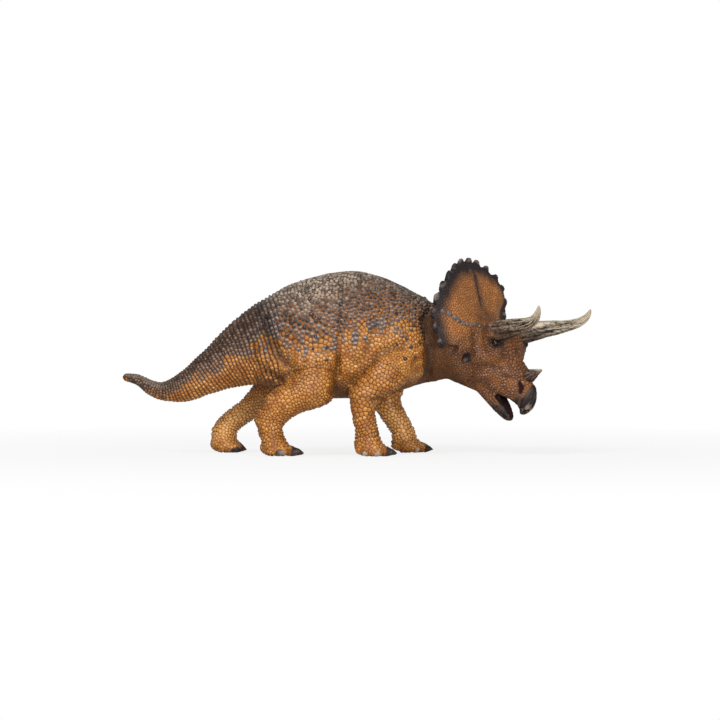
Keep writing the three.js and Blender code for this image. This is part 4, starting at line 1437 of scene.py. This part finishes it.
# Paints as red, green and blue on a screen: between the scales, on their tops, and a painted highlight,
# partly dry-brush, on their upper sides.
# The ones with one colour are laid on as they are.
paints = {
    "ochre": [(84, 46, 12), (182, 118, 50), (224, 174, 112)],
    # painted light on the far legs: a paler copy of the ochre
    "far_leg_light": [(126, 74, 28), (232, 172, 102)],
    "deep_ochre": [(88, 48, 14), (160, 98, 42)],
    "slate": [(36, 30, 32), (86, 73, 68), (160, 146, 134)],
    "slate_gap": [(138, 84, 34)],
    "dry": [(92, 76, 68), (176, 158, 138), (208, 192, 170)],
    "dry_gap": [(66, 42, 28)],
    "tail": [(52, 38, 32), (110, 82, 64), (150, 124, 104)],
    "tail_gap": [(26, 16, 11)],
    "ring": [(52, 30, 15)],
    "pale_tip": [(44, 32, 26), (130, 112, 100)],
    "face": [(34, 18, 8), (110, 66, 34), (150, 118, 98)],
    "warm_face": [(54, 31, 14), (138, 86, 42)],
    "frill": [(74, 42, 18), (164, 104, 52), (184, 130, 84)],
    "burnt": [(36, 23, 18), (88, 60, 44)],
    "neck": [(46, 27, 11), (96, 58, 26)],
    # painted shade in the creases of the face
    "crease_shade": [(32, 19, 13)],
    # painted shade under the belly
    "underside_shade": [(62, 38, 20), (120, 76, 38)],
    "shade": [(30, 18, 11), (86, 58, 38)],
    "rim": [(14, 9, 10), (44, 35, 35)],
    # pale paint and painted highlight on the tips of the frill and the spikes
    "rim_tip_highlight": [(112, 102, 96)],
    "claw": [(40, 30, 28), (80, 64, 58)],
    "claw_tip": [(166, 146, 128)],
    "beak": [(20, 12, 10), (68, 50, 42)],
    "worn_beak": [(150, 132, 114)],
    "mouth": [(30, 5, 4)],
    "bone": [(98, 72, 58), (198, 182, 156)],
    "bone_groove": [(30, 20, 15)],
    "stud": [(44, 40, 42), (120, 114, 112)],
    "knob": [(80, 68, 64), (132, 120, 115)],
    "eye": [(12, 9, 8), (54, 28, 14)],
}
hide_layers = (
    "rise", "luck", "lit", "dark", "dry", "tail", "pale_tip", "underside_shade", "shade", "fold", "far_leg_light", "face",
    "neck", "frill", "burnt", "rim", "tips", "ring", "horny", "beak", "claw_tip", "streak", "crease_shade", "mouth",
)
hide_roughness = (0.32, 0.46)
rougher_layers = {"face": 0.1, "neck": 0.2, "rim": 0.15, "mouth": 0.4}


def screen_colour(red, green, blue):
    """A colour as it is read off a screen, made linear."""
    shares = [value / 255.0 for value in (red, green, blue)]
    return tuple(((share + 0.055) / 1.055) ** 2.4 for share in shares) + (1.0,)


class Finish:
    """Builds the node tree of one painted finish."""

    def __init__(self, name):
        self.material = bpy.data.materials.new(name)
        self.material.use_nodes = True
        self.tree = self.material.node_tree
        self.shader = self.tree.nodes["Principled BSDF"]
        self.shader.inputs["Specular IOR Level"].default_value = gloss

    def link(self, source, target):
        self.tree.links.new(source, target)

    def value(self, name):
        node = self.tree.nodes.new("ShaderNodeAttribute")
        node.attribute_name = name
        return node.outputs["Fac"]

    def noise(self, scale, detail=3.0):
        place = self.tree.nodes.new("ShaderNodeTexCoord")
        node = self.tree.nodes.new("ShaderNodeTexNoise")
        node.inputs["Scale"].default_value = scale
        node.inputs["Detail"].default_value = detail
        self.link(place.outputs["Object"], node.inputs["Vector"])
        return node.outputs["Fac"]

    def set_or_link(self, socket, value):
        if isinstance(value, (tuple, float)):
            socket.default_value = value
        else:
            self.link(value, socket)

    def mix(self, share, first, second):
        node = self.tree.nodes.new("ShaderNodeMix")
        node.data_type = "RGBA"
        for index, value in ((0, share), (6, first), (7, second)):
            self.set_or_link(node.inputs[index], value)
        return node.outputs[2]

    def coat(self, paint, share=None, lit=None):
        """A paint from the list, from its first colour to its second by a share, then to its third."""
        colour, *others = [screen_colour(*shade) for shade in paints[paint]]
        for way, other in zip((share, lit), others):
            colour = self.mix(way, colour, other)
        return colour

    def combine(self, kind, first, second):
        node = self.tree.nodes.new("ShaderNodeMath")
        node.operation = kind
        self.set_or_link(node.inputs[0], first)
        self.set_or_link(node.inputs[1], second)
        return node.outputs[0]

    def times(self, first, second):
        return self.combine("MULTIPLY", first, second)

    def span(self, value, low, high, start=0.0, end=1.0):
        node = self.tree.nodes.new("ShaderNodeMapRange")
        node.interpolation_type = "SMOOTHSTEP"
        self.link(value, node.inputs["Value"])
        node.inputs["From Min"].default_value = low
        node.inputs["From Max"].default_value = high
        node.inputs["To Min"].default_value = start
        node.inputs["To Max"].default_value = end
        return node.outputs["Result"]

    def shade(self, colour, share):
        node = self.tree.nodes.new("ShaderNodeVectorMath")
        node.operation = "SCALE"
        self.link(colour, node.inputs[0])
        self.link(share, node.inputs["Scale"])
        return node.outputs[0]

    def finished(self, colour, roughness, height, strength, distance=grain_depth):
        self.set_or_link(self.shader.inputs["Base Color"], colour)
        self.set_or_link(self.shader.inputs["Roughness"], roughness)
        node = self.tree.nodes.new("ShaderNodeBump")
        node.inputs["Distance"].default_value = distance
        node.inputs["Strength"].default_value = strength
        self.link(height, node.inputs["Height"])
        self.link(node.outputs["Normal"], self.shader.inputs["Normal"])
        return self.material


def hide_finish():
    finish = Finish("painted_hide")
    mix, span, times = finish.mix, finish.span, finish.times
    value = {layer: finish.value(layer) for layer in hide_layers}
    luck = value["luck"]
    grain = finish.noise(2400.0)
    blotch = finish.noise(240.0)
    crown = span(value["rise"], 0.1, 0.85)
    top = span(value["rise"], 0.1, 0.36)
    # The painted highlight on the upper side of each scale.
    painted_highlight = times(value["lit"], span(luck, 0.1, 0.8, 0.2, 0.95))

    def coat(paint, share=crown):
        return finish.coat(paint, share, painted_highlight)

    def over(below, *layers):
        """Each layer's own paint laid over what is below it."""
        for layer in layers:
            below = mix(value[layer], below, coat(layer))
        return below

    # The far legs get the paler ochre of their painted light.
    skin = over(coat("ochre"), "far_leg_light")
    wash = times(span(blotch, 0.42, 0.66), span(value["far_leg_light"], 0.0, 1.0, 1.0, 0.2))
    skin = mix(wash, skin, coat("deep_ochre"))
    skin = mix(value["dark"], skin, mix(top, coat("slate_gap"), coat("slate", luck)))
    skin = mix(value["dry"], skin, mix(top, coat("dry_gap"), coat("dry", luck)))
    tail = mix(crown, coat("tail_gap"), coat("tail", luck))
    skin = mix(times(value["tail"], value["dark"]), skin, tail)
    skin = mix(times(value["ring"], 0.8), skin, coat("ring"))
    skin = over(skin, "pale_tip")
    # The folds are darkened: a dark wash of paint and painted shade.
    skin = finish.shade(skin, span(value["fold"], 0.0, 1.0, 1.0, 0.5))

    brown = mix(span(blotch, 0.46, 0.66), coat("face"), coat("warm_face"))
    skin = mix(value["face"], skin, brown)
    skin = over(skin, "frill", "burnt", "neck", "crease_shade", "underside_shade", "shade")
    rim = mix(times(value["tips"], span(blotch, 0.44, 0.6)), coat("rim"), coat("rim_tip_highlight"))
    skin = mix(value["rim"], skin, rim)

    claw = mix(value["claw_tip"], coat("claw", span(grain, 0.44, 0.66)), coat("claw_tip"))
    beak = mix(value["claw_tip"], coat("beak", span(value["streak"], 0.4, 0.85)), coat("worn_beak"))
    skin = mix(value["horny"], skin, mix(value["beak"], claw, beak))
    skin = over(skin, "mouth")
    skin = finish.shade(skin, span(grain, 0.3, 0.7, 0.84, 1.12))
    skin = finish.shade(skin, span(luck, 0.0, 1.0, 0.9, 1.08))
    rough = span(blotch, 0.3, 0.7, *hide_roughness)
    for layer, more in rougher_layers.items():
        rough = finish.combine("ADD", rough, span(value[layer], 0.0, 1.0, 0.0, more))
    return finish.finished(skin, rough, grain, 0.35)


def horn_finish():
    finish = Finish("bone_horn")
    grain = finish.noise(1500.0)
    bone = finish.coat("bone", finish.value("pale"))
    colour = finish.mix(finish.value("groove"), bone, finish.coat("bone_groove"))
    colour = finish.shade(colour, finish.span(grain, 0.3, 0.7, 0.86, 1.08))
    return finish.finished(colour, 0.5, grain, 0.3)


def speckled_finish(name, paint, first_speck, roughness):
    """A finish with fine specks of its second colour, where the grain is above a share."""
    finish = Finish(name)
    grain = finish.noise(1800.0)
    colour = finish.coat(paint, finish.span(grain, first_speck, 0.66))
    return finish.finished(colour, roughness, grain, 0.3)


def eye_finish():
    finish = Finish("glossy_eye")
    colour = finish.coat("eye", finish.value("iris"))
    return finish.finished(colour, 0.1, finish.noise(900.0), 0.1, 0.2 * grain_depth)


# Pieces

def finished(name, points, faces, material, nodes=(), paint=None):
    """Make one piece of the figure, in metres, with its paint layers and its place in the frame."""
    mesh = bpy.data.meshes.new(name)
    mesh.from_pydata((np.asarray(points) / MM).tolist(), [], [list(face) for face in faces])
    mesh.polygons.foreach_set("use_smooth", [True] * len(mesh.polygons))
    for layer, values in (paint or {}).items():
        attribute = mesh.attributes.new(layer, "FLOAT", "POINT")
        attribute.data.foreach_set("value", np.asarray(values, np.float32))
    mesh.materials.append(material)
    mesh.update()
    piece = bpy.data.objects.new(name, mesh)
    bpy.context.scene.collection.objects.link(piece)
    return placed(piece, nodes)


def placed(piece, nodes=()):
    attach(piece, "root")
    if nodes:
        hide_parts(*nodes)
    return piece


def make_skins():
    surfaces = {}
    for make_block, sculpt, nodes, outwards in (
        (body_block, sculpt_body, body_nodes, lambda points: points),
        (head_block, sculpt_head, head_nodes, from_head),
    ):
        block = make_block()
        sculpt(block)
        for node in nodes:
            points, quads = smoothed(*block.skin_of(node), node)
            surfaces[node] = (outwards(points), quads, block.depth_at(points))
    skin = Skin(surfaces)
    scale_the_skin(skin)
    skin.paint["horny"] = horny_parts(skin)
    skin.paint["mouth"] = dark_hollows(skin)
    raise_scales(skin)
    skin.measure()
    paint_body(skin)
    paint_head(skin)
    material = hide_finish()
    for node, (first, last, quads) in skin.parts.items():
        paint = {layer: values[first:last] for layer, values in skin.paint.items()}
        finished(f"{node}_skin", skin.points[first:last], quads, material, [node], paint)
    return skin


horn_sides = 80
horn_rings = 120
horn_cracks = 0.26  # how deep the cracks along a horn are
horn_knots = 0.22
horn_fibres = 4.4  # how many cracks there are around it
horn_twist = 0.03  # radians per millimetre
horn_point = 0.15
curve_steps = 12  # between two places of a path
# Each horn: its path and side, how many fibres run past per millimetre, its noise and how pale it is.
horns = {
    "brow_horn_right": (brow_horn, right, 0.15, 31, 0.05),
    "brow_horn_left": (brow_horn, left, 0.15, 41, 0.3),
    "nose_horn": (nose_horn, right, 0.35, 51, -0.3),
}


def rounded_path(path, count):
    """A smooth curve through places and radii, cut in even steps."""
    path = np.array(path, float)
    padded = np.vstack([2.0 * path[0] - path[1], path, 2.0 * path[-1] - path[-2]])
    made = []
    for before, a, b, after in zip(padded, padded[1:], padded[2:], padded[3:]):
        share = np.linspace(0.0, 1.0, curve_steps, endpoint=False)[:, None]
        made.append(
            0.5 * (2.0 * a + (b - before) * share + (2.0 * before - 5.0 * a + 4.0 * b - after) * share**2
                   + (3.0 * a - before - 3.0 * b + after) * share**3)
        )
    made = np.vstack([*made, path[-1:]])
    steps = np.concatenate([[0.0], np.cumsum(np.linalg.norm(np.diff(made[:, :3], axis=0), axis=1))])
    even = np.linspace(0.0, steps[-1], count)
    return np.stack([np.interp(even, steps, made[:, a]) for a in range(4)], axis=1), even


def cracked(place, size, salt):
    """Thin lines where soft noise changes sign."""
    return smoothstep(0.24, 0.0, np.abs(cloud(place, size, salt)))


def ring_faces(rings, sides, flip):
    """Quads between rings of points, and fans to a first and a last point that come after them."""
    faces = []
    for ring in range(rings - 1):
        for side in range(sides):
            after = (side + 1) % sides
            a, b = ring * sides + side, ring * sides + after
            faces.append((a, b, b + sides, a + sides))
    end = (rings - 1) * sides
    for side in range(sides):
        after = (side + 1) % sides
        faces.append((rings * sides, after, side))
        faces.append((rings * sides + 1, end + side, end + after))
    return [face[::-1] for face in faces] if flip else faces


def make_horn(node, material):
    """A horn with cracks that run along it, dark in its grooves, paler towards its tip, and pale on top as a
    painted highlight.
    """
    path, side, fibre, salt, bare = horns[node]
    stations, along = rounded_path(path, horn_rings)
    places = from_head(mirrored(stations[:, :3], side))
    ways = np.gradient(places, axis=0)
    ways /= np.linalg.norm(ways, axis=1)[:, None]
    across = np.cross(ways, [0.0, 0.0, 1.0])
    across /= np.linalg.norm(across, axis=1)[:, None]
    rise = np.cross(across, ways)
    angles = np.linspace(0.0, 2.0 * math.pi, horn_sides, endpoint=False)
    out = (
        np.cos(angles)[None, :, None] * across[:, None, :] + np.sin(angles)[None, :, None] * rise[:, None, :]
    ).reshape(-1, 3)
    around = np.tile(angles, horn_rings)
    length = np.repeat(along, horn_sides)
    size = np.repeat(stations[:, 3], horn_sides)
    share = length / along[-1]
    turn = around + horn_twist * length
    round_place = np.stack([np.cos(turn) * horn_fibres, np.sin(turn) * horn_fibres, length * fibre], axis=1)
    cracks = np.maximum(cracked(round_place, 0.7, salt), 0.8 * cracked(round_place, 0.4, salt + 1))
    knots = cloud(round_place, 0.8, salt + 2)
    depth = np.clip(size / 2.2, 0.12, 1.0)
    reach = size + depth * (horn_knots * knots - horn_cracks * cracks)
    points = np.repeat(places, horn_sides, axis=0) + out * reach[:, None]
    points = np.vstack([points, places[0], places[-1] + horn_point * ways[-1]])
    faces = ring_faces(horn_rings, horn_sides, flip=True)
    fade = 1.0 - 0.55 * smoothstep(0.55, 1.0, share)
    groove = np.clip(cracks * fade + 0.6 * smoothstep(0.3, -0.5, knots) * fade, 0.0, 1.0)
    # Paler towards the tip, and on the upper side as a painted highlight.
    pale = smoothstep(0.2, 1.0, share + 0.25 * out[:, 2] + 0.15 * knots + bare)
    paint = {"groove": np.append(groove, [0.0, 0.0]), "pale": np.append(pale, [0.0, 1.0])}
    finished(f"{node}_bone", points, faces, material, [node], paint)


def turned_shape(profile, ends, sides, flip=False):
    """A closed shape turned about the upright axis: the radius and height of its rings, and its ends."""
    turns = 2.0 * math.pi * np.arange(sides) / sides
    points = [
        (radius * math.cos(turn), radius * math.sin(turn), height)
        for radius, height in profile
        for turn in turns
    ]
    points += [(0.0, 0.0, height) for height in ends]
    return np.array(points), ring_faces(len(profile), sides, flip)


eye_rings = 18
eye_sides = 28
iris_angles = (0.4, 0.75)  # from the middle of the eye outwards, in radians


def make_eyes():
    material = eye_finish()
    angles = math.pi * np.arange(eye_rings - 1, 0, -1) / eye_rings
    profile = np.stack([np.sin(angles), np.cos(angles)], axis=1)
    coloured = (iris_angles[0] < angles) & (angles < iris_angles[1])
    iris = np.append(np.repeat(coloured, eye_sides), [False, False])
    for side, name in ((right, "eye_right"), (left, "eye_left")):
        points, faces = turned_shape(profile, (-1.0, 1.0), eye_sides, flip=side == left)
        points = eye_radius * mirrored(points[:, [0, 2, 1]], side) + mirrored(eye_place, side)
        finished(name, from_head(points), faces, material, (), {"iris": iris})


def bump_shape(name, profile, sides):
    """A small closed bump that stands on the origin and points up."""
    points, faces = turned_shape(profile, (profile[0][1], profile[-1][1]), sides)
    mesh = bpy.data.meshes.new(name)
    mesh.from_pydata(points.tolist(), [], faces)
    mesh.polygons.foreach_set("use_smooth", [True] * len(mesh.polygons))
    return bpy.data.objects.new(name, mesh)


def strewn(name, places, ways, sizes, shape, material):
    """Copies of a shape set on the skin by Geometry Nodes, as one piece."""
    mesh = bpy.data.meshes.new(name)
    mesh.from_pydata((np.array(places) / MM).tolist(), [], [])
    for layer, values in (("out", np.array(ways)), ("size", np.array(sizes) / MM)):
        attribute = mesh.attributes.new(layer, "FLOAT_VECTOR", "POINT")
        attribute.data.foreach_set("vector", values.astype(np.float32).ravel())
    piece = bpy.data.objects.new(name, mesh)
    bpy.context.scene.collection.objects.link(piece)
    tree = bpy.data.node_groups.new(f"{name}_tree", "GeometryNodeTree")
    tree.interface.new_socket("Geometry", in_out="INPUT", socket_type="NodeSocketGeometry")
    grow = tree.interface.new_socket("Growth", in_out="INPUT", socket_type="NodeSocketFloat")
    tree.interface.new_socket("Geometry", in_out="OUTPUT", socket_type="NodeSocketGeometry")
    nodes, links = tree.nodes, tree.links

    def layer_value(layer):
        node = nodes.new("GeometryNodeInputNamedAttribute")
        node.data_type = "FLOAT_VECTOR"
        node.inputs["Name"].default_value = layer
        return node.outputs["Attribute"]

    start = nodes.new("NodeGroupInput")
    end = nodes.new("NodeGroupOutput")
    info = nodes.new("GeometryNodeObjectInfo")
    info.inputs["Object"].default_value = shape
    align = nodes.new("FunctionNodeAlignRotationToVector")
    align.axis = "Z"
    links.new(layer_value("out"), align.inputs["Vector"])
    grown = nodes.new("ShaderNodeVectorMath")
    grown.operation = "SCALE"
    links.new(layer_value("size"), grown.inputs[0])
    links.new(start.outputs["Growth"], grown.inputs["Scale"])
    copies = nodes.new("GeometryNodeInstanceOnPoints")
    links.new(start.outputs["Geometry"], copies.inputs["Points"])
    links.new(info.outputs["Geometry"], copies.inputs["Instance"])
    links.new(align.outputs["Rotation"], copies.inputs["Rotation"])
    links.new(grown.outputs[0], copies.inputs["Scale"])
    real = nodes.new("GeometryNodeRealizeInstances")
    links.new(copies.outputs["Instances"], real.inputs["Geometry"])
    paint = nodes.new("GeometryNodeSetMaterial")
    paint.inputs["Material"].default_value = material
    links.new(real.outputs["Geometry"], paint.inputs["Geometry"])
    links.new(paint.outputs["Geometry"], end.inputs["Geometry"])
    modifier = piece.modifiers.new("copies", "NODES")
    modifier.node_group = tree
    modifier[grow.identifier] = 1.0
    graph = bpy.context.evaluated_depsgraph_get()
    made = bpy.data.meshes.new_from_object(piece.evaluated_get(graph))
    piece.modifiers.clear()
    piece.data = made
    bpy.data.objects.remove(shape)
    return placed(piece)


# Large dark studs on the side view, along and up as shares of the figure's length and height.
stud_shares = [
    (0.345, 0.831), (0.358, 0.798), (0.394, 0.793), (0.375, 0.746), (0.398, 0.721), (0.359, 0.673),
    (0.416, 0.679), (0.381, 0.65), (0.423, 0.628), (0.406, 0.61), (0.401, 0.541), (0.431, 0.553),
    (0.409, 0.48), (0.43, 0.486), (0.316, 0.746), (0.322, 0.679), (0.318, 0.578), (0.348, 0.611),
    (0.343, 0.724), (0.496, 0.855), (0.485, 0.803), (0.522, 0.801), (0.533, 0.845), (0.566, 0.828),
    (0.568, 0.787), (0.505, 0.746), (0.539, 0.733), (0.512, 0.676), (0.478, 0.698), (0.458, 0.771),
    (0.577, 0.721), (0.606, 0.733), (0.597, 0.787), (0.611, 0.66), (0.587, 0.655), (0.56, 0.667),
    (0.533, 0.664), (0.597, 0.59), (0.576, 0.562), (0.624, 0.575), (0.604, 0.55), (0.593, 0.495),
    (0.615, 0.499), (0.511, 0.888), (0.496, 0.917), (0.426, 0.841), (0.462, 0.853), (0.389, 0.847),
    (0.457, 0.724), (0.636, 0.711), (0.588, 0.831),
]
stud_radius = 0.74
stud_profile = [(1.0, -0.5), (1.0, 0.2), (0.82, 0.62), (0.5, 0.86), (0.18, 0.95)]
stud_sides = 9
stud_reach = 0.3  # how far from its place on the side view a stud may stand
stud_shift = 0.012  # how far the far side's studs stand from the near side's, in shares
ridge_low = 55.0  # studs also stand along the top of the back, above this
ridge_gap = 6.0


def side_spots(skin, shares, side, nodes, reach):
    """The points of the skin that show at places on the side view, from one side."""
    chosen = np.flatnonzero(skin.is_on(*nodes) & (side * skin.normal[:, 1] > 0.05) & ~skin.buried)
    tree = tree_of(skin.points[chosen] * [1.0, 0.0, 1.0])
    spots = []
    for along, up in on_side(shares):
        place = Vector((along, 0.0, up))
        found = [index for _, index, _ in tree.find_range(place, reach)] or [tree.find(place)[1]]
        spots.append(max(chosen[found], key=lambda index: side * skin.points[index, 1]))
    return spots


def make_studs(skin, material):
    rng = np.random.default_rng(seed + 1)
    nodes = ["trunk", *leg_nodes]
    spots = side_spots(skin, stud_shares, right, nodes, stud_reach)
    shifted = np.array(stud_shares) + rng.uniform(-stud_shift, stud_shift, (len(stud_shares), 2))
    spots += side_spots(skin, shifted, left, nodes, stud_reach)
    top = np.flatnonzero(skin.is_on("trunk") & (skin.normal[:, 2] > 0.8) & (skin.points[:, 2] > ridge_low))
    top = rng.permutation(top)
    kept = keep_apart(skin.points[top], np.full(len(top), ridge_gap), skin.points[spots])
    spots += list(top[kept])
    places = skin.points[spots] - 0.15 * skin.normal[spots]
    sizes = stud_radius * rng.uniform(0.7, 1.15, (len(spots), 1)) * [1.0, 1.0, 0.9]
    sizes[-kept.sum():] *= 0.75
    shape = bump_shape("stud", stud_profile, stud_sides)
    strewn("back_studs", places, skin.normal[spots], sizes, shape, material)


# The row of knobs from the frill's edge to the brow horn: along and up on the side view, in shares.
knob_shares = [
    (0.6747, 0.7342), (0.6879, 0.7224), (0.6974, 0.7096), (0.7068, 0.6886), (0.7162, 0.6767),
    (0.7249, 0.6704), (0.734, 0.6658), (0.7426, 0.6658), (0.7502, 0.6658), (0.7578, 0.6704),
    (0.7653, 0.6658), (0.7747, 0.6658),
]
knob_radii = [0.85, 1.15, 1.1, 1.05, 0.95, 0.85, 0.8, 0.72, 0.68, 0.64, 0.6, 0.55]
knob_profile = [(1.0, -0.5), (1.0, 0.25), (0.84, 0.66), (0.5, 0.92), (0.2, 1.0)]
knob_sides = 12
knob_reach = 0.8


def make_knobs(skin, material):
    """The row of knobs from each side of the frill down to the foot of the brow horn."""
    near = side_spots(skin, knob_shares, right, ["head"], knob_reach)
    chosen = np.flatnonzero(skin.is_on("head"))
    tree = tree_of(skin.head_place[chosen])
    far = [chosen[tree.find(Vector(mirrored(skin.head_place[spot], -1.0)))[1]] for spot in near]
    spots = near + far
    sizes = np.array(knob_radii * 2)[:, None] * [1.0, 1.0, 0.8]
    shape = bump_shape("knob", knob_profile, knob_sides)
    strewn("brow_knobs", skin.points[spots], skin.normal[spots], sizes, shape, material)


# Stage

# In metres
camera_distance = 1.6
camera_height_angle = 1.2  # degrees above level
camera_reach = 20.0
sensor_width = 36.0  # in millimetres
picture_width = 0.2647
picture_middle = (-0.0002, 0.0351)
studio_strength = 0.38
lamp_aim = Vector((0.0, 0.0, 0.03))
# Each lamp: its place, its size and its power in watts.
lamps = {"key": ((-0.35, -0.75, 0.75), 0.25, 6.4), "fill": ((0.3, -1.15, 0.14), 0.3, 8.0)}
floor_reach = 3.0
paper_grey = 0.82
# Seen from the camera the floor fades to clean white between these distances from the middle.
white_floor = (0.1, 0.32)
least_white = 0.82


def seen_straight(tree):
    """A factor that is 1 for rays straight from the camera, and 0 for light."""
    return tree.nodes.new("ShaderNodeLightPath").outputs["Is Camera Ray"]


def make_floor():
    ways = [(-1.0, -1.0), (1.0, -1.0), (1.0, 1.0), (-1.0, 1.0)]
    corners = [(floor_reach * along, floor_reach * across, 0.0) for along, across in ways]
    mesh = bpy.data.meshes.new("floor")
    mesh.from_pydata(corners, [], [(0, 1, 2, 3)])
    floor = bpy.data.objects.new("floor", mesh)
    bpy.context.scene.collection.objects.link(floor)
    paper = bpy.data.materials.new("paper")
    paper.use_nodes = True
    tree = paper.node_tree
    shader = tree.nodes["Principled BSDF"]
    shader.inputs["Base Color"].default_value = (paper_grey, paper_grey, paper_grey, 1.0)
    shader.inputs["Roughness"].default_value = 0.9
    shader.inputs["Specular IOR Level"].default_value = 0.0
    white = tree.nodes.new("ShaderNodeEmission")
    blend = tree.nodes.new("ShaderNodeMixShader")
    place = tree.nodes.new("ShaderNodeTexCoord")
    length = tree.nodes.new("ShaderNodeVectorMath")
    length.operation = "LENGTH"
    fade = tree.nodes.new("ShaderNodeMapRange")
    fade.inputs["From Min"].default_value = white_floor[0]
    fade.inputs["From Max"].default_value = white_floor[1]
    fade.inputs["To Min"].default_value = least_white
    share = tree.nodes.new("ShaderNodeMath")
    share.operation = "MULTIPLY"
    tree.links.new(place.outputs["Object"], length.inputs[0])
    tree.links.new(length.outputs["Value"], fade.inputs["Value"])
    tree.links.new(fade.outputs["Result"], share.inputs[0])
    tree.links.new(seen_straight(tree), share.inputs[1])
    tree.links.new(share.outputs[0], blend.inputs["Fac"])
    tree.links.new(shader.outputs["BSDF"], blend.inputs[1])
    tree.links.new(white.outputs["Emission"], blend.inputs[2])
    tree.links.new(blend.outputs["Shader"], tree.nodes["Material Output"].inputs["Surface"])
    mesh.materials.append(paper)


def make_light():
    world = bpy.data.worlds.new("studio")
    bpy.context.scene.world = world
    world.use_nodes = True
    tree = world.node_tree
    background = tree.nodes["Background"]
    background.inputs["Color"].default_value = (1.0, 1.0, 1.0, 1.0)
    strength = tree.nodes.new("ShaderNodeMapRange")
    strength.inputs["To Min"].default_value = studio_strength
    tree.links.new(seen_straight(tree), strength.inputs["Value"])
    tree.links.new(strength.outputs["Result"], background.inputs["Strength"])
    for name, (place, size, power) in lamps.items():
        light = bpy.data.lights.new(name, "AREA")
        light.size = size
        light.energy = power
        lamp = bpy.data.objects.new(name, light)
        lamp.location = place
        lamp.rotation_euler = (lamp_aim - Vector(place)).to_track_quat("-Z", "Y").to_euler()
        bpy.context.scene.collection.objects.link(lamp)


def make_camera():
    lens = bpy.data.cameras.new("camera")
    camera = bpy.data.objects.new("camera", lens)
    bpy.context.scene.collection.objects.link(camera)
    lens.sensor_width = sensor_width
    lens.lens = lens.sensor_width * camera_distance / picture_width
    lens.clip_end = camera_reach
    tilt = math.radians(camera_height_angle)
    along, up = picture_middle
    camera.location = (along, -camera_distance * math.cos(tilt), up + camera_distance * math.sin(tilt))
    camera.rotation_euler = (math.pi / 2.0 - tilt, 0.0, 0.0)
    bpy.context.scene.camera = camera


make_camera()
make_floor()
make_light()
bpy.context.scene.view_settings.view_transform = "Standard"

skin = make_skins()
bone = horn_finish()
for node in horns:
    make_horn(node, bone)
make_eyes()
make_studs(skin, speckled_finish("dark_stud", "stud", 0.48, 0.4))
make_knobs(skin, speckled_finish("grey_knob", "knob", 0.4, 0.42))
